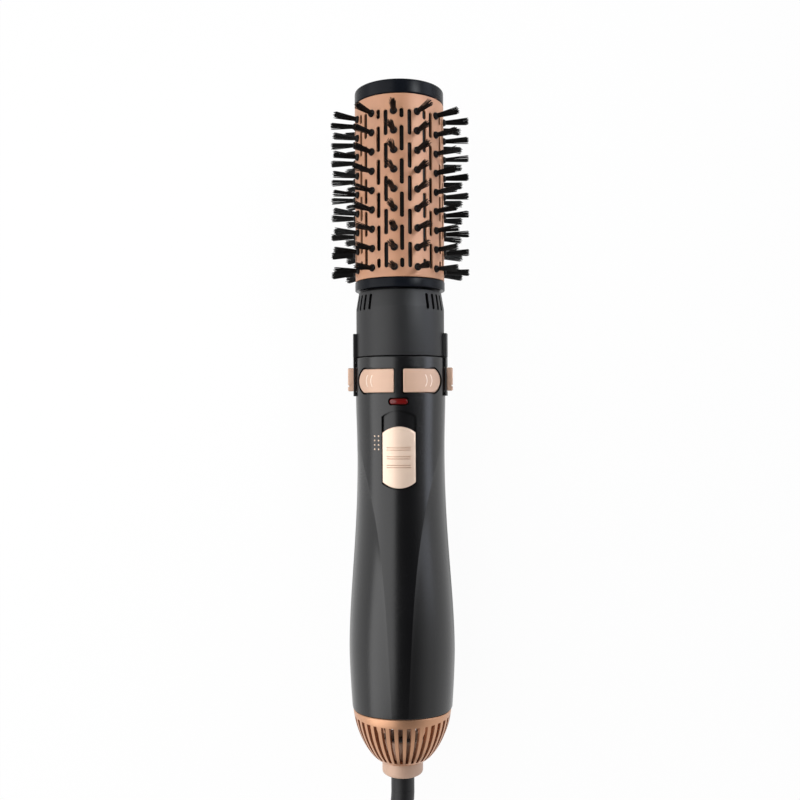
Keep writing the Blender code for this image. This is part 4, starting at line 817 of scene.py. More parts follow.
# %% Bristles
tufts = grown(bpy.data.meshes.new("tufts"), tufts_tree, tuft_values)
bpy.data.objects.remove(strand)
bpy.data.objects.remove(bead)
strips = [f"bristle_strip_{i + 1:02d}" for i in range(COLUMNS)]
keep("bristle_tufts", tufts, "bristle_nylon", "barrel", "bristle_nylon", *strips, sharp=60.0)

# %% [markdown]
# ## Tip cap and base ring
# Two black mouldings close the barrel: a shallow lid with a soft edge, and a ring with three spokes
# that hold the spindle.

# %% Tip cap
CAP_Z, TIP_Z, CAP_PLUG_Z, CAP_PLUG_RADIUS = 0.3030, 0.3091, 0.2992, 0.0190
cap_profile = [(0.0, TIP_Z), (BARREL_RADIUS, TIP_Z), (BARREL_RADIUS, CAP_Z), (CAP_PLUG_RADIUS, CAP_Z),
               (CAP_PLUG_RADIUS, CAP_PLUG_Z), (0.0, CAP_PLUG_Z)]
lid = lathe("cap", cap_profile, edge=0.0009, steps=144, closed=False, count=6)
keep("end_cap", lid, "gloss_black", "barrel", "gloss_black", "tip_cap")

# %% Base ring
SPOKES, SPOKE_Z, SPOKE_TOP_Z, SPOKE_HALF, SPOKE_ENDS = 3, 0.2259, 0.2284, 0.0011, (0.0038, 0.0170)
base_profile = [  # radius and height
    (0.0160, 0.2289), (0.0184, 0.2289), (0.0184, 0.2228), (0.0204, 0.2228), (0.0204, 0.2188),
    (0.0151, 0.2188), (0.0151, 0.2228), (0.0160, 0.2228),
]
hub_profile = ring(0.0023, 0.0040, SPOKE_Z, SPOKE_TOP_Z)
base = [lathe("base", base_profile, edge=0.0004, steps=144), lathe("hub", hub_profile, edge=0.0003, steps=48)]
spoke_loop = rectangle(-SPOKE_HALF, SPOKE_HALF, SPOKE_Z, SPOKE_TOP_Z, radius=0.0003)
for i in range(SPOKES):
    spoke = prism("spoke", spoke_loop, *SPOKE_ENDS)
    spoke.transform(Matrix.Rotation(i * math.tau / SPOKES, 4, "Z"))
    base.append(spoke)
keep("base_ring", together("base", base), "gloss_black", "barrel", "gloss_black", "barrel_base")

# %% [markdown]
# ## Vented neck
# The neck belongs to the removable head. It is a plain satin sleeve that draws in at the top, with
# eight narrow vents on each side and a rail on each flank.

# %% Neck
NECK_Z, NECK_TOP_Z, NECK_RADIUS = 0.1888, 0.2181, 0.0200
RAIL_RADIUS, RAIL_WIDTH, RAIL_SEAT, RAIL_EDGE = 0.0216, 0.0110, 0.0186, 0.0002
RAIL_HALF = math.asin(RAIL_WIDTH / 2 / RAIL_RADIUS)
VENT_HALF, VENT_ENDS = 0.00075, (NECK_TOP_Z - 0.0088, NECK_TOP_Z - 0.0017)
VENT_GROUPS, VENTS, VENT_STEP = (40, 110, -70, -140), 4, 10  # first angles, count and step in degrees
THROUGH_NECK = (0.0159, 0.03)
neck_profile = [  # radius and height
    (0.0132, 0.2250), (0.0148, 0.2250), (0.0148, NECK_TOP_Z), (0.0187, NECK_TOP_Z), (NECK_RADIUS, 0.2104),
    (NECK_RADIUS, NECK_Z), (0.0170, NECK_Z), (0.0170, 0.2161), (0.0132, 0.2161),
]
neck = lathe("neck", neck_profile, edge=0.0005, steps=180)
vent = prism("vent", rectangle(-VENT_HALF, VENT_HALF, *VENT_ENDS, radius=VENT_HALF * 0.9), *THROUGH_NECK)
for angle in VENT_GROUPS:
    neck = cut_round(neck, vent, VENTS, math.radians(angle), math.radians(VENT_STEP), "neck_black")
rails = []
for _, side in SIDES:
    loop = sector(RAIL_SEAT, RAIL_RADIUS, RAIL_HALF, side * math.pi / 2)
    rails.append(eased(prism("rail", loop, NECK_Z - 0.0001, NECK_Z + 0.0106, "Z"), RAIL_EDGE))
keep("vented_neck", together("neck", [neck, *rails]), "neck_black", "head", "satin_black", "head_neck")

# %% [markdown]
# ## Handle shells
# The handle is round at the seam, slim at the waist and full at the lower end. Its front has a
# spine that narrows downwards between two creases, with a shallow hollow on each side. One rule
# gives the radius everywhere, and the grid's columns follow the creases, so that they stay crisp.

# %% Rule of the handle
RIM_Z, SEAM_Z, RIM_ARCH = 0.0297, 0.1885, 0.0019
SEAM_RADIUS, WAIST_RADIUS, BELLY_RADIUS, RIM_RADIUS = 0.0204, 0.0199, 0.02405, 0.0228
WAIST_Z, SHOULDER_Z, BELLY_Z = SEAM_Z - 0.0419, SEAM_Z - 0.0156, RIM_Z + 0.02595
SWELL_POWER, DRAW_POWER = 1.2, 1.5
CREASE_Z, SCOOP_Z, SCOOP_DEPTH = SEAM_Z - 0.0406, RIM_Z, 0.0013
SCOOP_AT_RIM, SCOOP_POWER = 0.45, 0.75  # share of the depth that is left at the rim; fullness
CREASE_SIDE, CREASE_MIDDLE, CREASE_FADE = math.radians(65.0), math.radians(7.0), 0.036
SHELL_WALL, FIT = 0.0020, 0.0003
SEAM_EDGE, RIM_EDGE = 0.0005, 0.0003


def handle_radius(z):
    """Radius of the round sections: collar, waist, swell and rim."""
    if z >= WAIST_Z:
        rise = smooth((z - WAIST_Z) / (SHOULDER_Z - WAIST_Z))
        return WAIST_RADIUS + (SEAM_RADIUS - WAIST_RADIUS) * rise
    if z >= BELLY_Z:
        fall = (WAIST_Z - z) / (WAIST_Z - BELLY_Z)
        return WAIST_RADIUS + (BELLY_RADIUS - WAIST_RADIUS) * smooth(fall**SWELL_POWER)
    fall = (BELLY_Z - z) / (BELLY_Z - RIM_Z)
    return BELLY_RADIUS - (BELLY_RADIUS - RIM_RADIUS) * fall**DRAW_POWER


def crease_angle(z):
    """Angle from the front at which the spine ends."""
    fade = math.exp(min(z - CREASE_Z, 0.0) / CREASE_FADE)
    return CREASE_MIDDLE + (CREASE_SIDE - CREASE_MIDDLE) * fade


def skin_radius(angle, z):
    """Radius of the handle, less the hollow beside the spine, which is shallower at the rim."""
    crease = crease_angle(z)
    across = (abs(angle) - crease) / (math.pi / 2 - crease)
    along = (z - SCOOP_Z) / (CREASE_Z - SCOOP_Z)
    if not (0.0 < across < 1.0 and along < 1.0):
        return handle_radius(z)
    depth = math.sin(math.pi * max(along, 0.0))
    if along < 0.5:
        depth = SCOOP_AT_RIM + (1 - SCOOP_AT_RIM) * depth
    return handle_radius(z) - SCOOP_DEPTH * depth * (4 * across * (1 - across)) ** SCOOP_POWER


def rim_edge(angle):
    """Height of the edge where the shells meet the grille."""
    return RIM_Z + RIM_ARCH * math.cos(angle) ** 2


def edge_drop(distance, radius):
    """How far a rounded edge falls in, this far from its end."""
    t = max(1.0 - distance / radius, 0.0)
    return radius * (1.0 - math.sqrt(1.0 - t * t))


# %% Half shells
SHELL_ENDS = [0.0, 0.0006, 0.0015, 0.003]  # rows close to an edge, as shares of the height
SHELL_ROWS, SPINE_COLUMNS, FLANK_COLUMNS, BACK_COLUMNS = 130, 16, 24, 72
FLANK_BUNCHING = 1.25  # above 1, columns stand closer beside the crease


def shell_angles(front, height):
    """Angles of the columns of one half, at a height."""
    if not front:
        return [math.pi / 2 + math.pi * i / BACK_COLUMNS for i in range(BACK_COLUMNS + 1)]
    crease = crease_angle(height)
    flank = math.pi / 2 - crease
    side = [crease * i / SPINE_COLUMNS for i in range(SPINE_COLUMNS + 1)]
    side += [crease + flank * (i / FLANK_COLUMNS) ** FLANK_BUNCHING for i in range(1, FLANK_COLUMNS + 1)]
    return [-a for a in reversed(side[1:])] + side


def shell_mesh(front):
    """One half of the handle as a closed shell with rounded ends."""
    margin = SHELL_ENDS[-1]
    shares = SHELL_ENDS + [margin + (1 - 2 * margin) * i / SHELL_ROWS for i in range(1, SHELL_ROWS)]
    shares += [1 - share for share in reversed(SHELL_ENDS)]
    outer, inner = [], []
    for share in shares:
        for angle in shell_angles(front, RIM_Z + (SEAM_Z - RIM_Z) * share):
            low = rim_edge(angle)
            z = low + (SEAM_Z - low) * share
            skin = skin_radius(angle, z)
            drop = edge_drop(SEAM_Z - z, SEAM_EDGE) + edge_drop(z - low, RIM_EDGE)
            for verts, radius in ((outer, skin - drop), (inner, skin - SHELL_WALL)):
                x, y = polar(radius, angle)
                verts.append((x, min(y, -FIT / 2) if front else max(y, FIT / 2), z))
    tall, size = len(shares), len(outer)
    wide = size // tall
    faces = []
    for i in range(tall - 1):
        for j in range(wide - 1):
            a = i * wide + j
            quad = (a, a + 1, a + 1 + wide, a + wide)
            faces += [quad, tuple(size + v for v in reversed(quad))]
    edge = list(range(wide)) + [i * wide + wide - 1 for i in range(1, tall)]
    edge += [(tall - 1) * wide + j for j in range(wide - 2, -1, -1)]
    edge += [i * wide for i in range(tall - 2, 0, -1)]
    faces += [(b, a, size + a, size + b) for a, b in pairs(edge)]
    return from_faces("shell", outer + inner, faces)


front_mesh, back_mesh = shell_mesh(True), shell_mesh(False)
print("shells:", len(front_mesh.polygons), len(back_mesh.polygons), "faces")

# %% [markdown]
# ## Openings in the front shell
# The direction buttons stand in windows with a shallow frame, the lamp's lens lies in a sunk pill,
# and the slider runs in a recess with arched ends. The recess has a round floor, so its tool is a
# slice of a ring.

# %% Outlines of the controls
BUTTON_Z, BUTTON_HEIGHT, BUTTON_GAP, BUTTON_REACH = SEAM_Z - 0.01065, 0.0103, 0.0041, 0.0180
BUTTON_END_RADIUS, BUTTON_CORNER = 0.0066, 0.0006
LENS_Z, LENS_WIDTH, LENS_HEIGHT, LENS_ROUND = SEAM_Z - 0.01975, 0.0082, 0.0026, 0.9
POCKET_Z, POCKET_LENGTH, POCKET_WIDTH, END_RISE = SEAM_Z - 0.0236, 0.0346, 0.0153, 0.0027
POCKET_FLOOR = WAIST_RADIUS - 0.0012
SLIDER_Z, SLIDER_LENGTH, SLIDER_WIDTH = POCKET_Z - POCKET_LENGTH + 0.0007, 0.0269, 0.0144
PAD_Z, PAD_HEIGHT, PAD_WIDTH, PAD_RADIUS, PAD_CORNER = SEAM_Z - 0.00975, 0.0105, 0.0068, 0.0238, 0.0006
CUT_ENDS = (0.008, 0.045)  # an outline on the skin is pushed through between these depths
OUTSIDE, CUT_MARGIN = 0.04, 0.001


def button_outline(side, grow):
    """A direction button: square beside the middle, arched at its outer end."""
    half = BUTTON_HEIGHT / 2 + grow
    near, small, bend = BUTTON_GAP / 2 - grow, BUTTON_CORNER + grow, BUTTON_END_RADIUS + grow
    centre = BUTTON_REACH - BUTTON_END_RADIUS
    corner = centre + math.sqrt((bend - small) ** 2 - (half - small) ** 2)
    turn = math.degrees(math.atan2(half - small, corner - centre))
    low, high = BUTTON_Z - half + small, BUTTON_Z + half - small
    points = arc(near + small, low, small, 180, 270, 4)
    points += arc(corner, low, small, -90, -turn, 4)
    points += arc(centre, BUTTON_Z, bend, -turn, turn, 16)[1:-1]
    points += arc(corner, high, small, turn, 90, 4)
    points += arc(near + small, high, small, 90, 180, 4)
    return [(side * x, z) for x, z in points]


def lens_outline(grow):
    """Rounded bar of the indicator."""
    half, high = LENS_WIDTH / 2 + grow, LENS_HEIGHT / 2 + grow
    return rectangle(-half, half, LENS_Z - high, LENS_Z + high, high * LENS_ROUND, 8)


def on_skin(name, outline, inner):
    """A tool over an outline, from a round floor of the inner radius outwards."""
    heights = [z for x, z in outline]
    slab = ring(inner, OUTSIDE, min(heights) - CUT_MARGIN, max(heights) + CUT_MARGIN)
    return carved(turned(name, slab, steps=288), prism(name, outline, *CUT_ENDS), "INTERSECT")


def side_bar(side, half, low, high, near, far, corner=PAD_CORNER, count=3):
    """A bar with round corners that points to one side."""
    loop = rectangle(-half, half, low, high, corner, count)
    return prism("bar", loop, *sorted((side * near, side * far)), "X")


def pad_way(side):
    """The straight way of a release button through the side."""
    high = PAD_HEIGHT / 2 + FIT
    return side_bar(side, PAD_WIDTH / 2 + FIT, PAD_Z - high, PAD_Z + high, near=0.0158, far=0.0250)


# %% Carve the shells
WINDOW_DEPTH, LENS_WINDOW_DEPTH = 0.006, 0.0164
FRAME_WIDTH, LENS_FRAME_WIDTH = 0.0008, 0.00055
FRAME_FLOOR, LENS_FRAME_FLOOR = SEAM_RADIUS - 0.0010, 0.0193
POST_HALF, POST_LENGTH, POST_TRAVEL = 0.0015, 0.0060, 0.0060
POST_Z = SLIDER_Z + (SLIDER_LENGTH - POST_LENGTH) / 2
ways = [prism("window", button_outline(side, FIT), WINDOW_DEPTH, OUTSIDE) for _, side in SIDES]
ways.append(prism("window", lens_outline(FIT), LENS_WINDOW_DEPTH, OUTSIDE))
ways += [pad_way(side) for _, side in SIDES]
frames = [on_skin("frame", button_outline(side, FRAME_WIDTH), FRAME_FLOOR) for _, side in SIDES]
frames.append(on_skin("frame", lens_outline(LENS_FRAME_WIDTH), LENS_FRAME_FLOOR))
pocket_outline = arched(POCKET_WIDTH / 2, POCKET_Z - POCKET_LENGTH, POCKET_Z, END_RISE)
post_top = POST_Z + POST_LENGTH + POST_TRAVEL
post_way = rectangle(-POST_HALF - FIT, POST_HALF + FIT, POST_Z - FIT, post_top + FIT, radius=0.0004)
front_mesh = carved(front_mesh, together("ways", ways))
front_mesh = carved(front_mesh, together("frames", frames))
front_mesh = carved(front_mesh, on_skin("pocket", pocket_outline, POCKET_FLOOR))
front_mesh = carved(front_mesh, prism("post_slot", post_way, low=0.013, high=0.03))
back_mesh = carved(back_mesh, together("ways", [pad_way(side) for _, side in SIDES]))
keep("handle_front", front_mesh, "satin_black", "handle", "satin_black", "front_shell", sharp=7.0)
keep("handle_back", back_mesh, "satin_black", "handle", "satin_black", "rear_shell", sharp=24.0)

# %% [markdown]
# ## Outlet nozzle
# The head slides onto a smooth black tube. It stands in full view when the head is pulled off, so
# it is turned finer than the CAD model's.

# %% Nozzle
NOZZLE_RADIUS, NOZZLE_BORE, NOZZLE_TOP_Z = 0.0164, 0.0150, SEAM_Z + 0.0224
FLANGE_TOP_Z, FLANGE_DEPTH, FLANGE_RADIUS, FLANGE_BORE = SEAM_Z - FIT, 0.0025, 0.0178, 0.0120
nozzle_profile = [
    (NOZZLE_BORE, NOZZLE_TOP_Z), (NOZZLE_RADIUS, NOZZLE_TOP_Z), (NOZZLE_RADIUS, FLANGE_TOP_Z),
    (FLANGE_RADIUS, FLANGE_TOP_Z), (FLANGE_RADIUS, FLANGE_TOP_Z - FLANGE_DEPTH),
    (FLANGE_BORE, FLANGE_TOP_Z - FLANGE_DEPTH), (FLANGE_BORE, FLANGE_TOP_Z - FLANGE_DEPTH / 2),
    (NOZZLE_BORE, FLANGE_TOP_Z),
]
nozzle = lathe("nozzle", nozzle_profile, edge=0.0004, steps=144)
keep("air_nozzle", nozzle, "satin_black", "handle", "satin_black", "outlet_nozzle")

# %% [markdown]
# ## Buttons, slider and lens
# Their faces follow the round handle. Each cap is built from loops of its outline: up the side,
# over a rounded edge, which catches the light, and inwards to the middle. The slider has three
# grips, each a pair of fine grooves.

# %% Caps that follow the handle
CAP_STEP = 0.0008  # longest step along a cap's outline
CAP_EDGE_STEPS, CAP_FACE_STEPS, CAP_FIRST_SHARE = 5, 12, 0.98
CAP_NEAREST = 0.0085  # no point of a cap comes closer to the axis plane


def inset(outline, depth):
    """An outline drawn in by a depth; the outline runs anticlockwise."""
    made = []
    for i, here in enumerate(outline):
        before = (Vector(here) - Vector(outline[i - 1])).normalized()
        after = (Vector(outline[(i + 1) % len(outline)]) - Vector(here)).normalized()
        way = (before + after).normalized()
        inward = Vector((-way.y, way.x))
        made.append(tuple(Vector(here) + inward * depth / max(way.dot(before), 0.5)))
    return made


def cap(name, outline, inner, outer, edge, crown=0.0):
    """A cap with a round face, a rounded edge and, where it is wanted, a crowned middle."""
    if sum(a[0] * b[1] - b[0] * a[1] for a, b in pairs(outline)) < 0:
        outline = outline[::-1]
    steps = []
    for a, b in pairs(outline):
        count = max(math.ceil((Vector(b) - Vector(a)).length / CAP_STEP), 1)
        steps += [tuple(Vector(a).lerp(Vector(b), i / count)) for i in range(count)]
    across, along = zip(*steps)
    middle = Vector(((min(across) + max(across)) / 2, (min(along) + max(along)) / 2))

    def shrunk(loop, share):
        return [tuple(middle + (Vector(p) - middle) * share) for p in loop]

    loops = [(shrunk(steps, share), inner) for share in (0.0, 0.25, 0.5, 0.75, 1.0)]
    for i in range(CAP_EDGE_STEPS + 1):
        t = math.pi / 2 * i / CAP_EDGE_STEPS
        loops.append((inset(steps, edge * (1 - math.cos(t))), outer - edge * (1 - math.sin(t))))
    rim = loops[-1][0]
    for share in [CAP_FIRST_SHARE] + [1 - i / CAP_FACE_STEPS for i in range(1, CAP_FACE_STEPS)] + [0.0]:
        loops.append((shrunk(rim, share), outer + crown * (1 - share**2)))
    size = len(steps)
    verts, starts = [], []
    for loop, radius in loops:
        starts.append(len(verts))
        places = loop[:1] if loop[0] == loop[1] else loop
        verts += [(x, -max(math.sqrt(max(radius**2 - x * x, 0.0)), CAP_NEAREST), z) for x, z in places]
    faces = []
    for k in range(len(loops) - 1):
        a, b = starts[k], starts[k + 1]
        for i in range(size):
            j = (i + 1) % size
            if k == 0:
                faces.append((a, b + j, b + i))
            elif k == len(loops) - 2:
                faces.append((a + i, a + j, b))
            else:
                faces.append((a + i, a + j, b + j, b + i))
    return from_faces(name, verts, faces)


# %% Direction buttons and their arcs
BUTTON_OUTER, BUTTON_DEPTH = SEAM_RADIUS + 0.0005, 0.0033
ARC_REACHES, ARC_RADIUS, ARC_HALF, ARC_WIDTH, ARC_SUNK = (0.0144, 0.0123), 0.0050, 31, 0.00020, 0.00006


def bent_line(points, radius, width):
    """A fine raised line along points (across, height) on a round face."""
    line = [Vector((x, -math.sqrt(radius * radius - x * x), z)) for x, z in points]
    return hose("line", line, [width] * len(line), sides=8)


for name, side in SIDES:
    outline, body = button_outline(side, 0.0), "direction_" + name
    button = cap("button", outline, BUTTON_OUTER - BUTTON_DEPTH, BUTTON_OUTER, edge=0.00045)
    keep("button_" + name, button, "trim_gold", body, "trim_gold", "direction_button_" + name, sharp=40.0)
    arcs = []
    for reach in ARC_REACHES:
        sweep = arc(reach - ARC_RADIUS, BUTTON_Z, ARC_RADIUS, -ARC_HALF, ARC_HALF, 16)
        arcs.append(bent_line([(side * x, z) for x, z in sweep], BUTTON_OUTER - ARC_SUNK, ARC_WIDTH))
    # The arcs wear the pale finish, a painted highlight on their ridges; the arcs themselves are real raised
    # lines.
    keep("button_arcs_" + name, together("arcs", arcs), "arc_painted_highlight", body, "trim_gold", sharp=60.0)

# %% Slider and lens
SLIDER_OUTER = WAIST_RADIUS + 0.0013
GRIP_PITCH, GRIP_PAIR, GRIP_REACH, GRIP_HALF, GRIP_DEPTH = 0.0038, 0.0005, 0.00525, 0.00016, 0.0008
LENS_OUTER, LENS_DEPTH = handle_radius(LENS_Z) - FIT, 0.0018
slider_outline = arched(SLIDER_WIDTH / 2, SLIDER_Z, SLIDER_Z + SLIDER_LENGTH, END_RISE)
slider = cap("slider", slider_outline, POCKET_FLOOR + FIT, SLIDER_OUTER, edge=0.0006)
grips = []
for number in (-1, 0, 1):
    for offset in (-GRIP_PAIR, GRIP_PAIR):
        middle = SLIDER_Z + SLIDER_LENGTH / 2 + number * GRIP_PITCH + offset
        loop = rectangle(-GRIP_REACH, GRIP_REACH, middle - GRIP_HALF, middle + GRIP_HALF, GRIP_HALF / 2, 2)
        grips.append(on_skin("grip", loop, SLIDER_OUTER - GRIP_DEPTH))
slider = carved(slider, together("grips", grips))
post_loop = rectangle(-POST_HALF, POST_HALF, POST_Z, POST_Z + POST_LENGTH, radius=0.0003)
post = prism("post", post_loop, POCKET_FLOOR - SHELL_WALL, POCKET_FLOOR + 0.0008)
# The slider wears the lighter copy of the trim gold, which is painted light from the key lamp.
keep("slider_cap", together("slider", [slider, post]), "slider_painted_light_gold", "slider", "trim_gold", "mode_slider",
     sharp=30.0)
lens_mesh = cap("lens", lens_outline(0.0), LENS_OUTER - LENS_DEPTH, LENS_OUTER, edge=0.0007, crown=0.0001)
keep("indicator_window", lens_mesh, "lens_red", "handle", "lens_red", "indicator_lens", sharp=40.0)

# %% Release pads and their rails
PAD_LOW, PAD_HIGH, PAD_HALF = PAD_Z - PAD_HEIGHT / 2, PAD_Z + PAD_HEIGHT / 2, PAD_WIDTH / 2
for name, side in SIDES:
    loop = sector(SEAM_RADIUS + FIT, RAIL_RADIUS, RAIL_HALF, side * math.pi / 2)
    rail = carved(prism("rail", loop, SEAM_Z - FIT - 0.0170, SEAM_Z + 0.0001, "Z"), pad_way(side))
    keep("side_rail_" + name, eased(rail, RAIL_EDGE, segments=2), "satin_black", "handle", "satin_black",
         "release_bezel_" + name)
    pad = eased(side_bar(side, PAD_HALF, PAD_LOW, PAD_HIGH, near=0.0172, far=PAD_RADIUS), width=0.0005)
    groove = side_bar(side, PAD_HALF + CUT_MARGIN, low=PAD_LOW + 0.0020, high=PAD_LOW + 0.0027,
                      near=PAD_RADIUS - 0.0006, far=0.026, corner=0.0001, count=1)
    stop = side_bar(side, half=0.0044, low=PAD_LOW - 0.001, high=PAD_HIGH + 0.001, near=0.01617, far=0.01747)
    pad = together("pad", [carved(pad, groove), stop])
    keep("release_pad_" + name, pad, "trim_gold", "release_" + name, "trim_gold", "release_button_" + name)

# %% [markdown]
# ## Printed dots
# Two columns of four pale dots beside the slider, thin discs set on a small grid by a tree.

# %% Dots
DOT_Z, DOT_RADIUS, DOT_TOP, DOT_BOTTOM = 0.1479, 0.00037, 0.0001, -0.0004
DOT_SEAT = handle_radius(DOT_Z + 0.006)
dot_profile = [(0.0, DOT_TOP), (DOT_RADIUS, DOT_TOP), (DOT_RADIUS, DOT_BOTTOM), (0.0, DOT_BOTTOM)]
dot = placed("dot", lathe("dot", dot_profile, edge=0.00004, steps=20, closed=False, count=2))
dot.data.transform(Matrix.Translation((0, -DOT_SEAT, 0)) @ Matrix.Rotation(math.pi / 2, 4, "X"))
dot_values = {
    "Dot": dot, "Rows": 4, "Pitch": 0.00193, "Columns": 2, "Step": math.radians(-5.9),
    "First Angle": math.radians(-26.6), "First Row": DOT_Z, "Finish": looks["print_gold"],
}
dots_tree, n, wires = new_tree("dots_on_grid", dot_values)
row = row_of_points(n, wires["Rows"], xyz(n, Z=wires["First Row"]), xyz(n, Z=wires["Pitch"]))
row = on_points(n, row, shape_of(n, wires["Dot"]))
close_tree(n, round_axis(n, row, wires["Columns"], wires["First Angle"], wires["Step"]), wires["Finish"])
dots = grown(bpy.data.meshes.new("dots"), dots_tree, dot_values)
bpy.data.objects.remove(dot)
keep("setting_dots", dots, "print_gold", "handle", "trim_gold")

# %% [markdown]
# ## Inlet grille and collar
# Air enters through a bowl with thirty-six slots that taper towards the cord collar. Its upper edge
# follows the shells' arched rim. The collar's guide shows through the slots.

# %% Grille
BOWL_FLOOR, FLOOR_RADIUS, FLOOR_BORE, BOWL_WALL = 0.0066, 0.0108, 0.0096, 0.0016
BOWL_TOP, BOWL_FULLNESS, BOWL_POWER = RIM_RADIUS - 0.0005, 1.6, 0.71
BOWL_LEVELS, LEVEL_BUNCHING, WALL_IN, WALL_UP = 28, 1.5, 1.1, 0.6
LIP_RADIUS, LIP_TOP_Z, BOWL_EDGE = RIM_RADIUS - SHELL_WALL - 2 * FIT, 0.0356, 0.0006
ARCHED_BAND = (RIM_Z - 0.0008, RIM_Z + 0.003)  # heights that follow the arched rim
GRILLE_SLOTS, SLOT_ENDS, SLOT_NEAR, SLOT_FAR, SLOT_HALF = 36, (0.0086, 0.0272), 0.0101, 0.026, 0.00106


def bowl_radius(z):
    """Outer radius of the bowl, a funnel that fills out from the floor to the rim."""
    rise = (z - BOWL_FLOOR) / (RIM_Z - BOWL_FLOOR)
    full = max(1.0 - (1.0 - rise) ** BOWL_FULLNESS, 0.0) ** BOWL_POWER
    return FLOOR_RADIUS + (BOWL_TOP - FLOOR_RADIUS) * full


steps = [(i / BOWL_LEVELS) ** LEVEL_BUNCHING for i in range(BOWL_LEVELS - 1, -1, -1)]
levels = [BOWL_FLOOR + (RIM_Z - BOWL_FLOOR) * step for step in steps]
outside = [(bowl_radius(z), z) for z in levels]
inside = [(r - BOWL_WALL * WALL_IN, z + BOWL_WALL * WALL_UP) for r, z in outside[2:-3]]
lip = [(LIP_RADIUS - BOWL_WALL, LIP_TOP_Z), (LIP_RADIUS, LIP_TOP_Z), (LIP_RADIUS, RIM_Z - FIT),
       (BOWL_TOP - BOWL_EDGE / 2, RIM_Z - FIT), (BOWL_TOP, RIM_Z - BOWL_EDGE)]
bottom = [(FLOOR_BORE, BOWL_FLOOR), (FLOOR_BORE, BOWL_FLOOR + BOWL_WALL)]
bowl = turned("bowl", lip + outside + bottom + inside[::-1], steps=180)
for vert in bowl.vertices:
    if ARCHED_BAND[0] < vert.co.z < ARCHED_BAND[1] and vert.co.xy.length > LIP_RADIUS - CUT_MARGIN:
        vert.co.z += rim_edge(math.atan2(vert.co.x, -vert.co.y)) - RIM_Z
slim, full = SLOT_HALF * SLOT_NEAR / BOWL_TOP, SLOT_HALF * SLOT_FAR / BOWL_TOP
wedge = [(-slim, -SLOT_NEAR), (-full, -SLOT_FAR), (full, -SLOT_FAR), (slim, -SLOT_NEAR)]
slot = prism("slot", wedge, *SLOT_ENDS, "Z")
bowl = cut_round(bowl, slot, GRILLE_SLOTS, 0.0, math.tau / GRILLE_SLOTS, "grille_gold")
keep("grille_bowl", bowl, "grille_gold", "handle", "trim_gold", "inlet_grille")

# %% Collar and swivel tube
collar_profile = [  # radius and height
    (0.0078, 0.0160), (0.0093, 0.0160), (0.0093, 0.0), (0.0056, 0.0), (0.0056, 0.0020), (0.0078, 0.0020),
]
collar = lathe("collar", collar_profile, edge=0.0011, steps=96, count=6)
keep("cord_sleeve_collar", collar, "collar_gold", "handle", "trim_gold", "cord_collar")
swivel_profile = [
    (0.0, 0.0130), (0.0053, 0.0130), (0.0053, 0.0043), (0.0075, 0.0040), (0.0075, 0.0023), (0.0053, 0.0023),
    (0.0053, -0.0074), (0.0053, -0.0075), (0.0, -0.0075),
]
swivel = lathe("swivel", swivel_profile, edge=0.0003, steps=64, closed=False)
keep("swivel_tube", swivel, "cord_rubber", "swivel", "cord_rubber", "swivel_sleeve")

# %% [markdown]
# ## Pieces inside
# The motors, heater, fan and switches are CAD nodes that show a little through the slots.

# %% Finishes for the CAD nodes that stay
inner = {
    "inner_black": ("gear_mount", "motor_mount", "slide_switch", "push_switch_left", "push_switch_right",
                    "fan_impeller", "gearbox", "indicator_lamp"),
    "steel": ("brush_spindle", "retaining_ring", "drive_shaft", "fan_motor", "brush_motor", "thermostat",
              "heating_winding"),
    "mica_sheet": ("heater_frame", "heater_sleeve"),
    "board_green": ("switch_board",),
}
for look, names in inner.items():
    for name in names:
        nodes[name].data.materials.clear()
        nodes[name].data.materials.append(looks[look])
shown = [name for name, obj in nodes.items() if not obj.hide_render]
print("CAD nodes that stay:", len(shown), sorted(shown))

# %% [markdown]
# ## Floor and light
# The floor is pale and keeps a soft shadow close under the brush. A large softbox stands to the
# left, a narrow one to the right for the far edge, and a gridded one lights the right side of the
# barrel. The world is bright near the horizon and dim overhead, which gives a black handle its wide
# grey flank and dark middle.

# %% Floor
FLOOR_CORNERS, FLOOR_Z = [(-3, -3, 0), (3, -3, 0), (3, 3, 0), (-3, 3, 0)], -0.0002
SHADOW_MIDDLE_Y = 0.0135
SHADOW_ACROSS, SHADOW_ALONG = (0.014, 0.020), (0.112, 0.144)  # the shadow fades between these distances
PAPER, WHITE = (0.86, 0.86, 0.86, 1.0), (1.0, 1.0, 1.0, 1.0)
GLOW_SHARE = 0.96


def soft_step(n, value, low, high, first=0.0, last=1.0):
    """A value that goes smoothly from first to last between two limits."""
    sockets = {"Value": value, "From Min": low, "From Max": high, "To Min": first, "To Max": last}
    return n.add("ShaderNodeMapRange", sockets, {"interpolation_type": "SMOOTHSTEP"})


floor = placed("floor", from_faces("floor", FLOOR_CORNERS, [(0, 1, 2, 3)]))
floor.location.z = FLOOR_Z
paper = bpy.data.materials.new("paper_floor")
paper.use_nodes = True
n = Nodes(paper.node_tree)
paper.node_tree.nodes.remove(paper.node_tree.nodes["Principled BSDF"])
path = n.add("ShaderNodeLightPath", out="Is Camera Ray")
seen = path.math("MAXIMUM", path.output("Is Glossy Ray"))
seen = seen.math("MAXIMUM", path.output("Is Transmission Ray"))
place = n.add("ShaderNodeTexCoord", out="Object")
across = n.add("ShaderNodeSeparateXYZ", {"Vector": place}, out="X")
along = across.output("Y") - SHADOW_MIDDLE_Y
beside = soft_step(n, across.math("ABSOLUTE"), *SHADOW_ACROSS)
beyond = soft_step(n, along.math("ABSOLUTE"), *SHADOW_ALONG)
clear = beside.math("MAXIMUM", beyond)
matt = n.add("ShaderNodeBsdfDiffuse", {"Color": PAPER})
glow = n.add("ShaderNodeEmission", {"Color": WHITE, "Strength": 1.0})
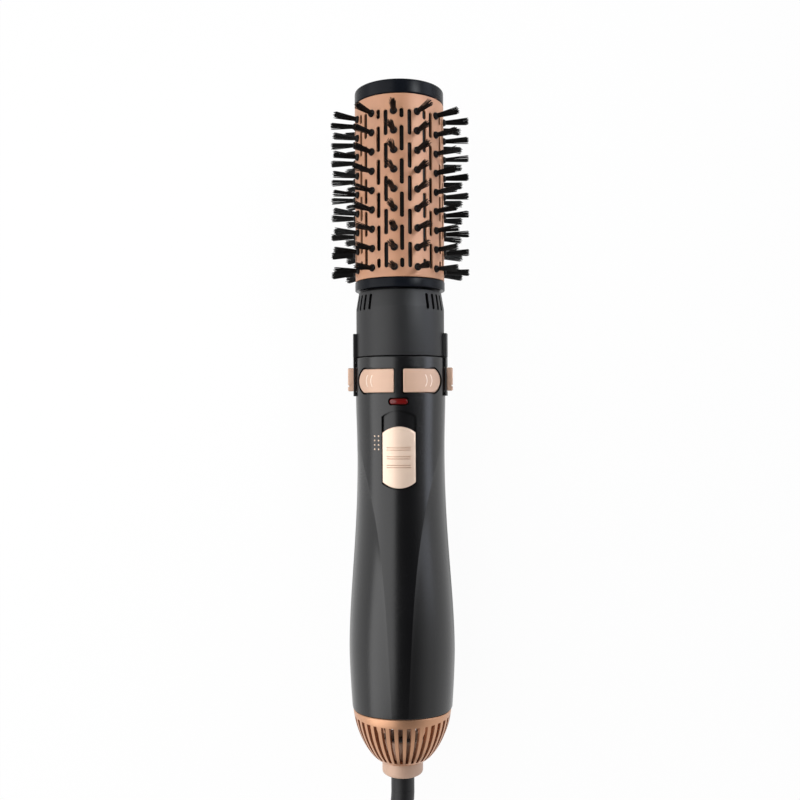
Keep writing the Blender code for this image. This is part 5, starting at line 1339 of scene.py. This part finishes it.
blend = n.add("ShaderNodeMixShader", {0: seen * clear * GLOW_SHARE, 1: matt, 2: glow})
n.feed(paper.node_tree.nodes["Material Output"], {"Surface": blend})
floor.data.materials.append(paper)
floor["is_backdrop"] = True
print("floor: shadow fades out", SHADOW_ACROSS[1], "m beside the brush")

# %% World
WALL_TOP, CEILING = 0.25, 0.85  # heights of the view direction
WALL_LIGHT, CEILING_LIGHT = 0.85, 0.05
world = bpy.data.worlds.new("studio")
scene.world = world
world.use_nodes = True
n = Nodes(world.node_tree)
way = n.add("ShaderNodeTexCoord", out="Generated")
height = n.add("ShaderNodeSeparateXYZ", {"Vector": way}, out="Z").math("MAXIMUM", 0.0)
level = soft_step(n, height, WALL_TOP, CEILING, WALL_LIGHT, CEILING_LIGHT)
n.feed(world.node_tree.nodes["Background"], {"Strength": level, "Color": WHITE})
print("world: strength", WALL_LIGHT, "low down,", CEILING_LIGHT, "overhead")


# %% Lamps
def softbox(name, spot, aim, wide, tall, power, colour=(1.0, 1.0, 1.0), spread=180.0):
    """A rectangular area lamp that faces a point, its long side along the brush."""
    lamp = bpy.data.lights.new(name, "AREA")
    lamp.shape = "RECTANGLE"
    lamp.size, lamp.size_y = wide, tall
    lamp.energy = power
    lamp.color = colour
    lamp.spread = math.radians(spread)
    obj = placed(name, lamp)
    back = (Vector(spot) - Vector(aim)).normalized()
    across = Vector((0.0, 1.0, 0.0)).cross(back).normalized()
    facing = Matrix((across, back.cross(across), back)).transposed().to_4x4()
    obj.matrix_world = Matrix.Translation(spot) @ facing


softbox("key_left", (-0.475, 0.0, 0.49), (0.0, 0.0, 0.03), 0.88, 1.04, 6.1)
softbox("edge_right", (0.587, 0.20, 0.155), (0.0, 0.02, 0.03), 0.25, 0.68, 1.2, (0.80, 0.85, 1.0))
softbox("fill_head", (0.36, 0.24, 0.40), (0.0, 0.115, 0.03), 0.22, 0.22, 0.08, (0.93, 0.97, 1.0), 26.0)

# %% [markdown]
# ## Size
# The box of the dressed model is printed.

# %% Finish
low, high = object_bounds()
print("visual box:", [round(c, 4) for c in low], [round(c, 4) for c in high])
